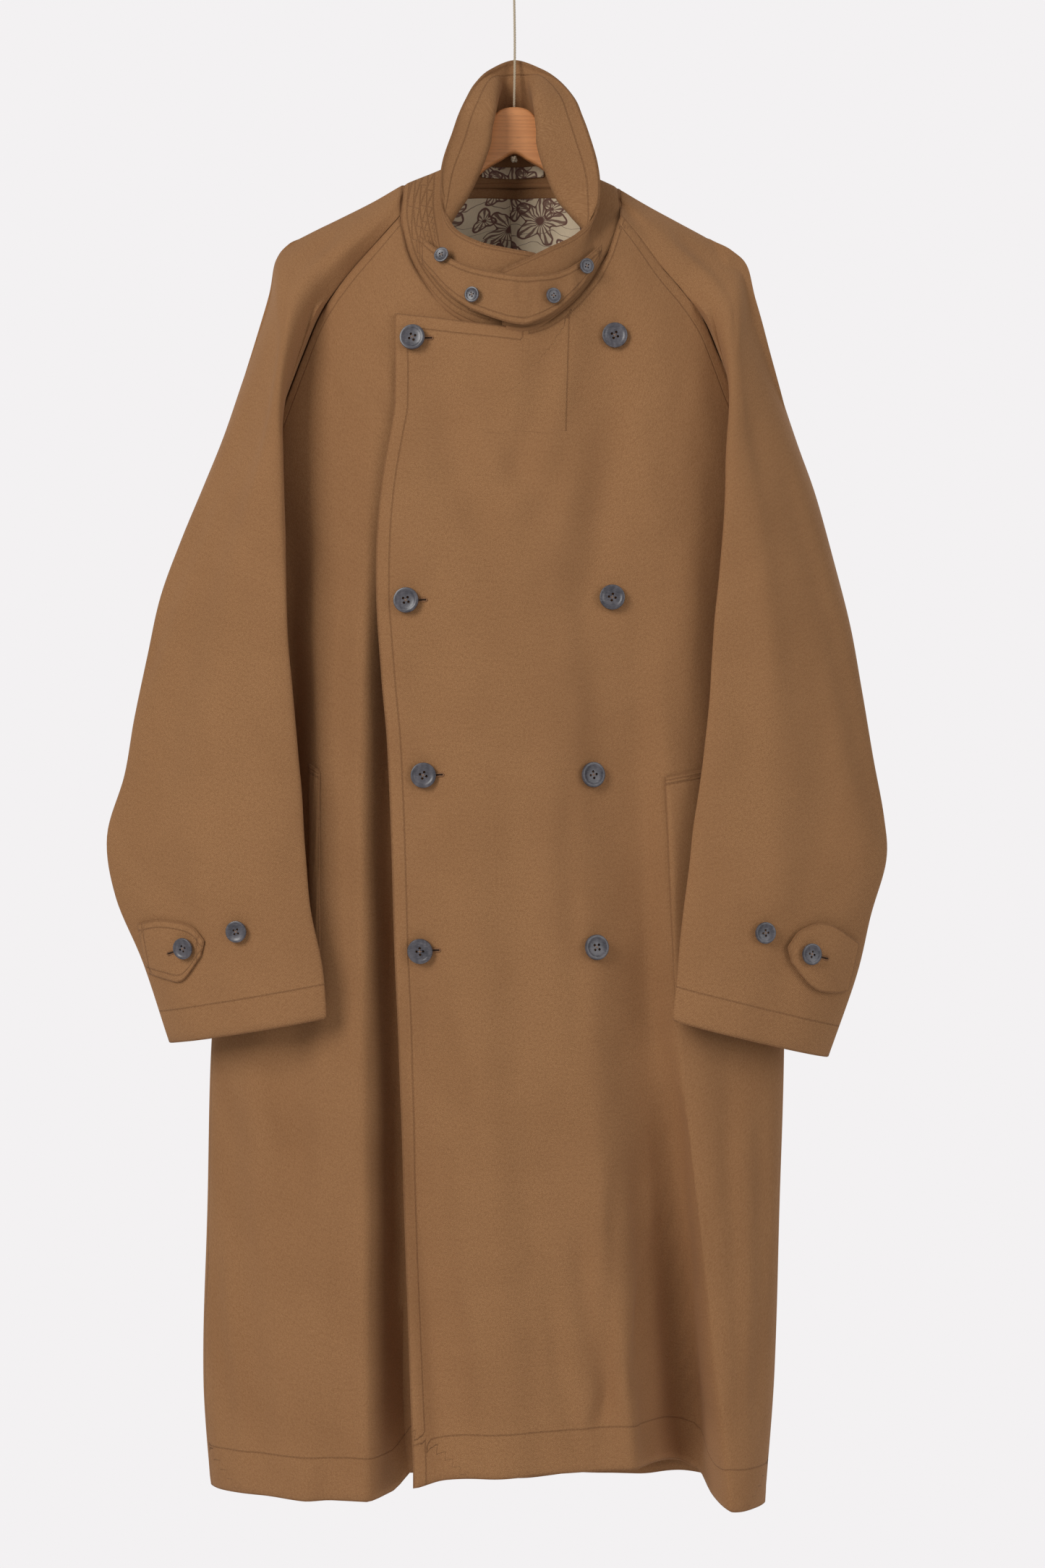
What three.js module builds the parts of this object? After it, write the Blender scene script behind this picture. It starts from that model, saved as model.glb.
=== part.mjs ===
import * as THREE from "three";

// Wool overcoat on a wooden hanger. Millimetres, +Z up, the coat's front looks along -Y,
// and the origin is the top of the twine loop that the hanger hangs by.
// Left and right in names are the wearer's; the wearer's right lies at -X.

// Driving dimensions
const CLOTH = 2.2;
const LINING = 1.2;
const DOUBLE_CLOTH = 4;
const SEAM_GAP = 0.4;
const LAY_GAP = 1.1;
const FRONT_DEPTH = 85;
const BACK_DEPTH = 48;
const HEM_Z = -1427;
const BUTTON = { main: 23, cuff: 19.5, latch: 14 };
const LAP_STEP = 3.4;

const COLOURS = {
  wool: 0x8f6748, collar: 0x8a6345, lining: 0xd9c8b2, button: 0x73706f, wood: 0x91674d, twine: 0xb9a789,
};

// Half-width of the body on each side, at the side seams
const BODY_WIDTH = [
  { z: -226, right: 292, left: 288 },
  { z: -400, right: 262, left: 262 },
  { z: -528, right: 245, left: 245 },
  { z: -640, right: 252, left: 246 },
  { z: -750, right: 262, left: 248 },
  { z: -900, right: 272, left: 250 },
  { z: -1031, right: 281, left: 250 },
  { z: -1164, right: 284, left: 246 },
  { z: -1325, right: 288, left: 241 },
  { z: -1432, right: 281, left: 233 },
];

// Top of the cloth along the shoulders, by distance from the middle
const SHOULDER = [
  { x: 0, z: -173 },
  { x: 60, z: -200 },
  { x: 104, z: -225 },
  { x: 152, z: -253 },
  { x: 200, z: -284 },
  { x: 300, z: -330 },
];

// Seam between the fronts and the collar, from the side of the neck to the middle
const NECKLINE = [
  { x: -105, z: -258 },
  { x: -98, z: -289 },
  { x: -86, z: -314 },
  { x: -63, z: -343 },
  { x: -43, z: -357.5 },
  { x: -18, z: -367.5 },
  { x: 8, z: -371 },
  { x: 37, z: -360 },
  { x: 67, z: -331 },
  { x: 85, z: -301 },
  { x: 98.5, z: -259 },
];

// Seam between the back and the collar
const BACK_NECK = [
  { x: -105, z: -252 },
  { x: -85, z: -232 },
  { x: -45, z: -222 },
  { x: 0, z: -221 },
  { x: 45, z: -222 },
  { x: 80, z: -232 },
  { x: 98.5, z: -252 },
];

// Free front edge of the lapping front, the wearer's left
const FRONT_EDGE = [
  { z: -355, x: -107.5 },
  { z: -440, x: -120 },
  { z: -531, x: -124 },
  { z: -628, x: -119 },
  { z: -693, x: -114 },
  { z: -790, x: -110 },
  { z: -985, x: -105 },
  { z: -1139, x: -100 },
  { z: -1263, x: -95.6 },
  { z: -1425, x: -90 },
];

// Hem of the lapping front
const LAP_HEM = [
  { x: -92, z: -1413 },
  { x: -60, z: -1404 },
  { x: 0, z: -1400 },
  { x: 120, z: -1397 },
  { x: 160, z: -1408 },
  { x: 185, z: -1428 },
  { x: 233, z: -1431 },
];

// Folds pressed into the fronts: line from x0 at z0 to x1 at z1, width to each side, depth at the end
const LAP_FOLDS = [
  { x0: 96, z0: -420, x1: 124, z1: -1050, toMiddle: 58, toSide: 30, depth: 26, x2: 168, depth2: 74 },
  { x0: 205, z0: -440, x1: 200, z1: -1000, toMiddle: 40, toSide: 60, depth: 10, x2: 214, depth2: -14 },
  { x0: -40, z0: -520, x1: -30, z1: -1000, toMiddle: 40, toSide: 60, depth: -3, x2: -10, depth2: -12 },
];
const UNDER_FOLDS = [
  { x0: -100, z0: -400, x1: -108, z1: -760, toMiddle: 40, toSide: 34, depth: 34, x2: -100, depth2: 58 },
  { x0: -208, z0: -440, x1: -204, z1: -760, toMiddle: 26, toSide: 40, depth: 20, x2: -190, depth2: -10 },
];
const BACK_FOLDS = [
  { x0: -150, z0: -620, x1: -165, z1: -1050, toMiddle: 45, toSide: 45, depth: 12, x2: -175, depth2: 30 },
  { x0: 0, z0: -560, x1: 0, z1: -1050, toMiddle: 60, toSide: 60, depth: -8, x2: 4, depth2: -26 },
  { x0: 140, z0: -620, x1: 150, z1: -1050, toMiddle: 45, toSide: 45, depth: 12, x2: 160, depth2: 28 },
];

// Sleeve rows from neck to cuff. top: shoulder seam, then the sleeve's outer edge. crest: where the front
// turns back. seam: front armhole seam, whose depth is the body's, then the underarm seam. back: back
// armhole seam. puff: how far the front stands forward.
const SLEEVE_RIGHT = [
  { top: [-104, -225, 0], crest: [-105, -246, -19], seam: [-105, -258], back: [-105, -252], puff: 3 },
  { top: [-131, -241, 0], crest: [-126, -268, -32], seam: [-124, -281], back: [-119, -274], puff: 5 },
  { top: [-161, -256.5, 0], crest: [-151, -292, -44], seam: [-147, -308], back: [-137, -304], puff: 8 },
  { top: [-188, -270, 0], crest: [-172, -314, -49], seam: [-165, -332], back: [-154, -334], puff: 12 },
  { top: [-208, -282, -2], crest: [-187, -340, -60], seam: [-179, -356], back: [-168, -362], puff: 17 },
  { top: [-219.5, -297, -8], crest: [-199, -380, -78], seam: [-192, -388], back: [-182, -392], puff: 22 },
  { top: [-224, -330, -16], crest: [-206, -420, -85], seam: [-203, -416], back: [-196, -423], puff: 25 },
  { top: [-236, -372, -25], crest: [-208, -455, -87], seam: [-215, -446], back: [-211, -453], puff: 27 },
  { top: [-251, -416, -25], crest: [-207, -482, -88], seam: [-227, -474], back: [-225, -481], puff: 28 },
  { top: [-267, -462, -25], crest: [-206, -512, -88], seam: [-237, -502], back: [-236, -506], puff: 29 },
  { top: [-285, -506, -25], crest: [-205.5, -545, -89], seam: [-246, -528, 0], puff: 30 },
  { top: [-306, -556, -25], crest: [-203.5, -590, -90], seam: [-257, -580, -20], puff: 30 },
  { top: [-325, -608, -25], crest: [-202, -640, -90], seam: [-247, -640, -42], puff: 30 },
  { top: [-337, -662, -25], crest: [-199, -690, -90], seam: [-232, -695, -56], puff: 30 },
  { top: [-349, -720, -25], crest: [-196, -745, -90], seam: [-220, -750, -64], puff: 30 },
  { top: [-358, -772, -25], crest: [-192.5, -792, -90], seam: [-210, -798, -68], puff: 30 },
  { top: [-374, -828, -25], crest: [-190, -842, -90], seam: [-205, -846, -70], puff: 30 },
  { top: [-366, -884, -25], crest: [-186, -892, -89], seam: [-199, -895, -72], puff: 28 },
  { top: [-341, -944, -25], crest: [-175, -944, -88], seam: [-190, -947, -74], puff: 29 },
  { top: [-317, -1017, -25], crest: [-170, -990, -87], seam: [-185, -993, -74], puff: 29 },
];
const SLEEVE_LEFT = [
  { top: [98, -229, 0], crest: [99, -248, -19], seam: [98.5, -259], back: [98.5, -252], puff: 3 },
  { top: [123, -244, 0], crest: [117, -269, -31], seam: [115, -281], back: [110, -269], puff: 5 },
  { top: [150, -259, 0], crest: [140, -297, -44], seam: [136, -311], back: [132, -304], puff: 8 },
  { top: [178, -274.5, 0], crest: [164, -320, -49], seam: [157, -336], back: [150, -334], puff: 12 },
  { top: [200, -288.5, -2], crest: [181, -348, -60], seam: [174, -361], back: [166, -362], puff: 17 },
  { top: [214, -303, -8], crest: [190, -386, -76], seam: [187, -392], back: [180, -392], puff: 21 },
  { top: [221, -335, -16], crest: [193, -427, -82], seam: [198, -420], back: [194, -423], puff: 23 },
  { top: [233, -380, -25], crest: [191.5, -465, -84], seam: [212, -449], back: [209, -453], puff: 25 },
  { top: [246, -425, -25], crest: [190, -495, -85], seam: [226, -476], back: [224, -481], puff: 26 },
  { top: [260, -467, -25], crest: [188.5, -520, -86], seam: [237, -503], back: [236, -506], puff: 27 },
  { top: [277, -515, -25], crest: [186, -555, -87], seam: [246, -528, 0], puff: 28 },
  { top: [294, -577, -25], crest: [182, -610, -88], seam: [257, -585, -22], puff: 28 },
  { top: [309, -635, -25], crest: [178, -660, -88], seam: [246, -645, -44], puff: 28 },
  { top: [320, -695, -25], crest: [174.5, -710, -89], seam: [228, -705, -58], puff: 28 },
  { top: [330, -755, -25], crest: [169, -765, -89], seam: [208, -765, -68], puff: 28 },
  { top: [340, -810, -25], crest: [162, -815, -89], seam: [193, -815, -73], puff: 28 },
  { top: [342, -850, -25], crest: [158, -862, -89], seam: [183, -862, -75], puff: 28 },
  { top: [328, -900, -25], crest: [153.5, -905, -89], seam: [175, -905, -76], puff: 27 },
  { top: [315, -955, -25], crest: [149, -948, -89], seam: [169, -950, -76], puff: 29 },
  { top: [289, -1030, -25], crest: [144, -992, -88], seam: [164, -994, -76], puff: 29 },
];
const ARMPIT_ROW = 10;
const CUFF_ROW = 19;
const CUFF_TAPER = 4;
const CUFF_SLACK = 0.3;
const BACK_PUFF = 26;
const SLEEVE_ROOM = 15;
const CUFF_ROOM = 7;
const STEEP_ROW = 12;
const FLAT_SEAM_ROWS = 4;

// Collar rows from the under end at the front, round the back of the neck, to the over end.
// foot: on the neckline, crease: top of the stand, edge: free top edge.
const COLLAR = [
  { foot: [22, -366, -68], crease: [22, -335, -73], edge: [21.7, -303.7, -77] },
  { foot: [-15, -369, -73], crease: [-12, -332, -78], edge: [-12, -298, -80] },
  { foot: [-45, -359.5, -72], crease: [-38, -325, -77], edge: [-35, -292, -79] },
  { foot: [-65.7, -344, -67], crease: [-56, -312, -70], edge: [-55, -279, -68] },
  { foot: [-86.9, -315.7, -54], crease: [-67, -288, -55.5], edge: [-65, -260, -53] },
  { foot: [-97.8, -289.6, -42], crease: [-57, -262, -45], edge: [-68, -238, -45] },
  { foot: [-103.8, -257.8, -24], crease: [-43, -238, -36], edge: [-65, -213, -38] },
  { foot: [-102, -224.5, 0], crease: [-28, -200, -29], edge: [-55.5, -185, -29] },
  { foot: [-84.2, -230, 17], crease: [-21, -162, -19], edge: [-43.5, -152.5, -17] },
  { foot: [-66, -224.6, 21.3], crease: [-17.5, -142, -2], edge: [-35.5, -134.5, -6] },
  { foot: [-42.5, -220.4, 22.8], crease: [-13.5, -134, 12], edge: [-24, -119.5, 2] },
  { foot: [0, -219, 26], crease: [0, -125, 14], edge: [0, -108.5, 12] },
  { foot: [42.5, -220.4, 23], crease: [13.5, -134, 12], edge: [25, -118, 2] },
  { foot: [65, -224.4, 21.8], crease: [19, -140, -2], edge: [40.5, -131.5, -6] },
  { foot: [79.8, -228.9, 19], crease: [21.5, -157, -20], edge: [54.3, -151.5, -17] },
  { foot: [96, -227.5, 0], crease: [26, -200, -29], edge: [67, -185, -29] },
  { foot: [97.8, -257, -25], crease: [40, -240, -36], edge: [75.5, -214.5, -38] },
  { foot: [95.3, -274.5, -39.6], crease: [53, -259, -46], edge: [78, -239, -47] },
  { foot: [85.4, -298, -53], crease: [68, -281, -56], edge: [75, -264.5, -57] },
  { foot: [67, -329.5, -66.5], crease: [61, -309, -69], edge: [57, -285, -70] },
  { foot: [37, -358.5, -78], crease: [40, -327, -81], edge: [33, -299, -83] },
  { foot: [12, -369, -82.6], crease: [12, -340, -86], edge: [12, -310, -87] },
  { foot: [-9, -368.2, -83], crease: [-9.5, -345, -88], edge: [-9.5, -319.7, -88.5] },
];

// Throat latch, a band buttoned across the front of the collar
const LATCH = [
  { x: -86, y: -57, top: -283, foot: -306 },
  { x: -73, y: -66, top: -295, foot: -322 },
  { x: -58, y: -76, top: -307, foot: -339 },
  { x: -36, y: -84, top: -317, foot: -354 },
  { x: 0, y: -93, top: -325, foot: -367 },
  { x: 20, y: -92, top: -325, foot: -365 },
  { x: 42, y: -87, top: -321, foot: -352 },
  { x: 62, y: -78, top: -309, foot: -331 },
  { x: 80, y: -64, top: -292, foot: -302 },
];

const MAIN_BUTTONS = [
  { name: "button_row1_outer", x: 91, z: -374.8 },
  { name: "button_row1_lap", x: -91, z: -378 },
  { name: "button_row2_outer", x: 88.4, z: -612 },
  { name: "button_row2_lap", x: -96.2, z: -614.9 },
  { name: "button_row3_outer", x: 69.6, z: -771.5 },
  { name: "button_row3_lap", x: -81.3, z: -772.1 },
  { name: "button_row4_outer", x: 72.8, z: -927 },
  { name: "button_row4_lap", x: -83.9, z: -929.4 },
];
const LATCH_BUTTONS = [
  { name: "latch_button_1", x: -64, z: -304 },
  { name: "latch_button_2", x: -36.3, z: -340.9 },
  { name: "latch_button_3", x: 34.1, z: -342.8 },
  { name: "latch_button_4", x: 64, z: -314 },
];

// Smooth value of a table's column `name` where its column `key` is `at`
function read(rows, key, name, at) {
  const rising = rows[rows.length - 1][key] > rows[0][key];
  const list = rising ? rows : [...rows].reverse();
  const last = list.length - 1;
  if (at <= list[0][key]) return list[0][name];
  if (at >= list[last][key]) return list[last][name];
  let i = 0;
  while (list[i + 1][key] < at) i += 1;
  const slope = (k) => {
    const a = list[Math.max(k - 1, 0)];
    const b = list[Math.min(k + 1, last)];
    return (b[name] - a[name]) / (b[key] - a[key]);
  };
  const span = list[i + 1][key] - list[i][key];
  const t = (at - list[i][key]) / span;
  const t2 = t * t;
  const t3 = t2 * t;
  return (2 * t3 - 3 * t2 + 1) * list[i][name] + (t3 - 2 * t2 + t) * span * slope(i)
    + (3 * t2 - 2 * t3) * list[i + 1][name] + (t3 - t2) * span * slope(i + 1);
}

// Point at place `at` on a smooth curve through the points, whose ends may wrap round
function onCurve(points, at, closed) {
  const last = points.length - 1;
  const i = Math.min(Math.floor(at), last - 1);
  const t = at - i;
  const pick = (k) => {
    if (k >= 0 && k <= last) return points[k];
    if (closed) return k < 0 ? points[last + k] : points[k - last];
    const end = k < 0 ? points[0] : points[last];
    const inner = k < 0 ? points[1] : points[last - 1];
    return end.clone().multiplyScalar(2).sub(inner);
  };
  const [a, b, c, d] = [pick(i - 1), pick(i), pick(i + 1), pick(i + 2)];
  const axis = (k) => 0.5 * (2 * b[k] + (c[k] - a[k]) * t + (2 * a[k] - 5 * b[k] + 4 * c[k] - d[k]) * t * t
    + (3 * b[k] - a[k] - 3 * c[k] + d[k]) * t * t * t);
  return new THREE.Vector3(axis("x"), axis("y"), axis("z"));
}

const vector = ([x, z, y]) => new THREE.Vector3(x, y, z);
const steps = (count) => Array.from({ length: count + 1 }, (_, i) => i / count);
const ease = (t) => {
  const s = Math.min(Math.max(t, 0), 1);
  return s * s * (3 - 2 * s);
};

function gridNormals(grid, sign) {
  return grid.map((row, j) => row.map((_, i) => {
    const across = row[Math.min(i + 1, row.length - 1)].clone().sub(row[Math.max(i - 1, 0)]);
    const down = grid[Math.min(j + 1, grid.length - 1)][i].clone().sub(grid[Math.max(j - 1, 0)][i]);
    return across.cross(down).normalize().multiplyScalar(sign);
  }));
}

// Gives two panels the same inward direction along the seam that they share
function shareSeam(normalsA, columnA, normalsB, columnB, rowCount, firstRow = 0) {
  for (let j = firstRow; j < rowCount; j += 1) {
    const a = normalsA[j].at(columnA);
    const mean = a.clone().add(normalsB[j].at(columnB)).normalize();
    normalsA[j].at(columnA).copy(mean);
    normalsB[j].at(columnB).copy(mean);
  }
}

// Pulls a grid's first or last column back along the cloth, square to the seam, to leave its gap
function trim(grid, gap, sides) {
  for (const side of sides) {
    const edge = side === "first" ? 0 : grid[0].length - 1;
    const next = side === "first" ? 1 : edge - 1;
    const line = grid.map((row) => row[edge].clone());
    grid.forEach((row, j) => {
      const along = line[Math.min(j + 1, line.length - 1)].clone().sub(line[Math.max(j - 1, 0)]).normalize();
      const inward = row[next].clone().sub(row[edge]);
      inward.addScaledVector(along, -inward.dot(along));
      row[edge].add(inward.setLength(gap));
    });
  }
}

// Closed wall of even thickness under a grid of outer points
function wall(grid, normals, thick) {
  const rows = grid.length;
  const columns = grid[0].length;
  const layer = rows * columns;
  const inner = grid.map((row, j) => row.map((p, i) => p.clone().addScaledVector(normals[j][i], -thick)));
  const position = [...grid.flat(), ...inner.flat()].flatMap((p) => [p.x, p.y, p.z]);
  const index = [];
  const quad = (a, b, c, d) => index.push(a, b, c, a, c, d);
  const at = (j, i) => j * columns + i;
  for (let j = 0; j < rows - 1; j += 1) {
    for (let i = 0; i < columns - 1; i += 1) {
      quad(at(j, i), at(j, i + 1), at(j + 1, i + 1), at(j + 1, i));
      quad(layer + at(j, i), layer + at(j + 1, i), layer + at(j + 1, i + 1), layer + at(j, i + 1));
    }
  }
  for (let j = 0; j < rows - 1; j += 1) {
    quad(at(j, 0), at(j + 1, 0), layer + at(j + 1, 0), layer + at(j, 0));
    const e = columns - 1;
    quad(at(j + 1, e), at(j, e), layer + at(j, e), layer + at(j + 1, e));
  }
  for (let i = 0; i < columns - 1; i += 1) {
    quad(at(0, i + 1), at(0, i), layer + at(0, i), layer + at(0, i + 1));
    const e = rows - 1;
    quad(at(e, i), at(e, i + 1), layer + at(e, i + 1), layer + at(e, i));
  }
  const geometry = new THREE.BufferGeometry();
  geometry.setAttribute("position", new THREE.Float32BufferAttribute(position, 3));
  geometry.setIndex(volume(position, index) < 0 ? flipped(index) : index);
  geometry.computeVertexNormals();
  return geometry;
}

function volume(position, index) {
  let sum = 0;
  const p = (k) => new THREE.Vector3(position[3 * k], position[3 * k + 1], position[3 * k + 2]);
  for (let k = 0; k < index.length; k += 3) {
    sum += p(index[k]).dot(p(index[k + 1]).cross(p(index[k + 2]))) / 6;
  }
  return sum;
}

function flipped(index) {
  const turned = [];
  for (let k = 0; k < index.length; k += 3) turned.push(index[k], index[k + 2], index[k + 1]);
  return turned;
}

const coat = new THREE.Group();

function add(name, geometry, colour, roughness = 0.9) {
  const material = new THREE.MeshStandardMaterial({ color: colour, roughness, metalness: 0 });
  const mesh = new THREE.Mesh(geometry, material);
  mesh.name = name;
  coat.add(mesh);
  mesh.updateMatrixWorld(true);
  return mesh;
}

// Body surfaces
function foldDepth(folds, x, z) {
  let sum = 0;
  for (const fold of folds) {
    const upper = Math.min(Math.max((fold.z0 - z) / (fold.z0 - fold.z1), 0), 1);
    const lower = Math.min(Math.max((fold.z1 - z) / (fold.z1 - HEM_Z), 0), 1);
    const middle = fold.x0 + (fold.x1 - fold.x0) * upper + (fold.x2 - fold.x1) * lower;
    const depth = fold.depth * ease(upper) + (fold.depth2 - fold.depth) * lower;
    const outward = (x - middle) * Math.sign(middle || 1) > 0;
    const width = outward ? fold.toSide : fold.toMiddle;
    const near = Math.max(1 - Math.abs(x - middle) / width, 0);
    sum += depth * ease(near);
  }
  return sum;
}

function bodyEdge(x, z) {
  const width = read(BODY_WIDTH, "z", x < 0 ? "right" : "left", z);
  return Math.sqrt(Math.max(1 - (x / width) ** 2, 0));
}

function shoulderDrop(x, z) {
  return Math.max(read(SHOULDER, "x", "z", Math.abs(x)) - z, 0);
}

function frontY(x, z, folds, lift) {
  const edge = bodyEdge(x, z);
  const depth = FRONT_DEPTH * (1 - Math.exp(-shoulderDrop(x, z) / 75));
  return -(depth + lift) * edge + foldDepth(folds, x, z) * Math.min(edge * 1.6, 1);
}

function backY(x, z) {
  const edge = bodyEdge(x, z);
  const depth = BACK_DEPTH * (1 - Math.exp(-shoulderDrop(x, z) / 60));
  return depth * edge + foldDepth(BACK_FOLDS, x, z) * edge;
}

const SIDE_SURFACE = {
  right: { seam: (x, z) => frontY(x, z, UNDER_FOLDS, -LAP_STEP), back: backY },
  left: { seam: (x, z) => frontY(x, z, LAP_FOLDS, LAP_STEP), back: backY },
};

// Point of an armhole seam, on the body's surface, or of the underarm seam, at its own depth
function seamPoint(row, name, side) {
  const [x, z, y] = row[name] ?? row.seam;
  return new THREE.Vector3(x, y ?? SIDE_SURFACE[side][name](x, z), z);
}

// Side line of a body panel: the armhole seam down to the armpit, then the side seam down to the hem
const SIDE_ROWS = 15;
function sideLine(sleeve, name, side, hem) {
  const sign = side === "right" ? -1 : 1;
  const upper = sleeve.slice(0, ARMPIT_ROW + 1).map((row) => seamPoint(row, name, side));
  const armpit = upper[ARMPIT_ROW].z;
  const lower = steps(SIDE_ROWS).slice(1).map((t) => {
    const z = armpit + (hem - armpit) * t;
    return new THREE.Vector3(sign * read(BODY_WIDTH, "z", side, z), 0, z);
  });
  return [...upper, ...lower];
}

// Front panel from its free front edge to the side line
function frontGrid({ side, sleeve, columns, edgeX, topZ, hemZ, folds, lift, surface }) {
  const line = sideLine(sleeve, "seam", side, hemZ(1));
  const top = line[0].z;
  const bottom = line.at(-1).z;
  return line.map((end) => steps(columns).map((u) => {
    const share = (top - end.z) / (top - bottom);
    const across = Math.sin((u ** 0.9) * Math.PI / 2);
    const startX = edgeX(end.z);
    const topX = edgeX(top) + (line[0].x - edgeX(top)) * across;
    const zTop = u === 1 ? top : topZ(topX);
    const z = zTop + (hemZ(across) - zTop) * share;
    const x = startX + (end.x - startX) * across;
    const y = surface(x, z, folds, lift);
    return u === 1 ? end.clone() : new THREE.Vector3(x, y, z);
  }));
}

const lapHem = (across) => {
  const x = -90 + (read(BODY_WIDTH, "z", "left", HEM_Z) + 90) * across;
  return read(LAP_HEM, "x", "z", x);
};
const LAP_TOP = { end: 8, z: -371, slope: -0.142 };
const lapTop = (x) => (
  x < LAP_TOP.end ? LAP_TOP.z + (x - LAP_TOP.end) * LAP_TOP.slope : read(NECKLINE, "x", "z", x)
);
const lapGrid = frontGrid({
  side: "left", sleeve: SLEEVE_LEFT, columns: 22, folds: LAP_FOLDS, lift: LAP_STEP, surface: frontY,
  edgeX: (z) => read(FRONT_EDGE, "z", "x", Math.min(z, -355)), topZ: lapTop, hemZ: lapHem,
});
const UNDER_LAP = 92;
const UNDER_CLEARANCE = 6;
const UNDER_HEM = { outer: -125, inner: -95, rise: 24, startX: 62 };
const underHem = (across) => {
  const x = UNDER_HEM.startX + (-read(BODY_WIDTH, "z", "right", HEM_Z) - UNDER_HEM.startX) * across;
  return HEM_Z + UNDER_HEM.rise * ease((x - UNDER_HEM.outer) / (UNDER_HEM.inner - UNDER_HEM.outer));
};
function underY(x, z, folds, lift) {
  const own = frontY(x, z, folds, lift);
  return x < -140 ? own : Math.max(own, frontY(x, z, LAP_FOLDS, LAP_STEP) + UNDER_CLEARANCE);
}
const UNDER_TOP = { setBack: 30, from: -380, over: 40, drop: 6 };
const underGrid = frontGrid({
  side: "right", sleeve: SLEEVE_RIGHT, columns: 20, folds: UNDER_FOLDS, lift: -LAP_STEP, surface: underY,
  edgeX: (z) => UNDER_LAP - UNDER_TOP.setBack * ease((z - UNDER_TOP.from) / UNDER_TOP.over),
  topZ: (x) => read(NECKLINE, "x", "z", x) - UNDER_TOP.drop,
  hemZ: underHem,
});

function backGrid(columns) {
  const right = sideLine(SLEEVE_RIGHT, "back", "right", HEM_Z);
  const left = sideLine(SLEEVE_LEFT, "back", "left", lapHem(1));
  return right.map((start, j) => {
    const end = left[j];
    const share = (right[0].z - start.z) / (right[0].z - HEM_Z);
    return steps(columns).map((u) => {
      const across = 0.5 - 0.5 * Math.cos(u * Math.PI);
      if (u === 0) return start.clone();
      if (u === 1) return end.clone();
      const x = start.x + (end.x - start.x) * across;
      const topX = right[0].x + (left[0].x - right[0].x) * across;
      const zTop = read(BACK_NECK, "x", "z", topX);
      const z = zTop + (HEM_Z - zTop) * share;
      return new THREE.Vector3(x, backY(x, z), z);
    });
  });
}
const backPanel = backGrid(20);

// Sleeves: one closed loop of cloth a row, split into its front and back halves
function sleeveLoops(rows, side) {
  return rows.map((row, j) => {
    const top = vector(row.top);
    const crest = vector(row.crest);
    const seam = seamPoint(row, "seam", side);
    const back = seamPoint(row, "back", side);
    const forward = new THREE.Vector3(0, -1, 0);
    const puff = row.puff;
    const slack = BACK_PUFF * Math.min(j / ARMPIT_ROW, 1, (CUFF_ROW - j) / CUFF_TAPER + CUFF_SLACK);
    const front1 = top.clone().lerp(crest, 0.2).addScaledVector(forward, puff * 0.8);
    const front2 = top.clone().lerp(crest, 0.6).addScaledVector(forward, puff);
    const back1 = back.clone().lerp(top, 0.4).addScaledVector(forward, -slack * 0.62);
    const back2 = back.clone().lerp(top, 0.76).addScaledVector(forward, -slack);
    return { points: [back, back1, back2, top, front1, front2, crest, seam], closed: j >= ARMPIT_ROW };
  });
}

// Keeps a sleeve's cloth just in front of the body, except at their shared seam
function clearOfBody(point, side, room) {
  const width = read(BODY_WIDTH, "z", side, point.z);
  if (Math.abs(point.x) < width) {
    point.y = Math.min(point.y, SIDE_SURFACE[side].seam(point.x, point.z) - room);
  }
  return point;
}

function sleeveHalf(rows, side, places) {
  return sleeveLoops(rows, side).map(({ points, closed }, j) => (
    places.map((place) => {
      const point = onCurve(points, place, closed);
      if (place === TOP_PLACE || j < FLAT_SEAM_ROWS) return point;
      if (j > ARMPIT_ROW) return clearOfBody(point, side, j > STEEP_ROW ? CUFF_ROOM : SLEEVE_ROOM);
      return place < TOP_PLACE || place === SEAM_PLACE
        ? point
        : clearOfBody(point, side, SLEEVE_ROOM * Math.min((SEAM_PLACE - place) * 5, 1));
    })
  ));
}
const TOP_PLACE = 3;
const SEAM_PLACE = 7;
const CREST_PLACE = 6;
const FRONT_PLACES = [
  ...steps(8).map((t) => TOP_PLACE + (CREST_PLACE - TOP_PLACE) * t),
  ...steps(5).slice(1).map((t) => CREST_PLACE + (SEAM_PLACE - CREST_PLACE) * t),
];
const sleeves = {};
for (const [side, rows, sign] of [["right", SLEEVE_RIGHT, 1], ["left", SLEEVE_LEFT, -1]]) {
  const front = sleeveHalf(rows, side, FRONT_PLACES);
  const back = sleeveHalf(rows, side, steps(8).map((t) => t * TOP_PLACE));
  const frontN = gridNormals(front, -sign);
  const backN = gridNormals(back, -sign);
  sleeves[side] = { front, back, frontN, backN };
}

// Walls of the body and sleeves, with the seams' shared directions set first
const lapN = gridNormals(lapGrid, -1);
const underN = gridNormals(underGrid, 1);
const backN = gridNormals(backPanel, 1);
const seamRows = ARMPIT_ROW + 1;
const sleeveRows = SLEEVE_LEFT.length;
for (const [side, frontNormals, backColumn] of [["left", lapN, -1], ["right", underN, 0]]) {
  const sleeve = sleeves[side];
  shareSeam(sleeve.frontN, 0, sleeve.backN, -1, sleeveRows);
  shareSeam(sleeve.frontN, -1, frontNormals, -1, FLAT_SEAM_ROWS);
  shareSeam(sleeve.backN, 0, backN, backColumn, seamRows);
  shareSeam(sleeve.frontN, -1, sleeve.backN, 0, sleeveRows, ARMPIT_ROW);
  shareSeam(frontNormals, -1, backN, backColumn, frontNormals.length, ARMPIT_ROW);
}
trim(lapGrid, SEAM_GAP, ["last"]);
trim(underGrid, SEAM_GAP, ["last"]);
trim(backPanel, SEAM_GAP, ["first", "last"]);
const lap = add("front_left", wall(lapGrid, lapN, CLOTH), COLOURS.wool);
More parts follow.
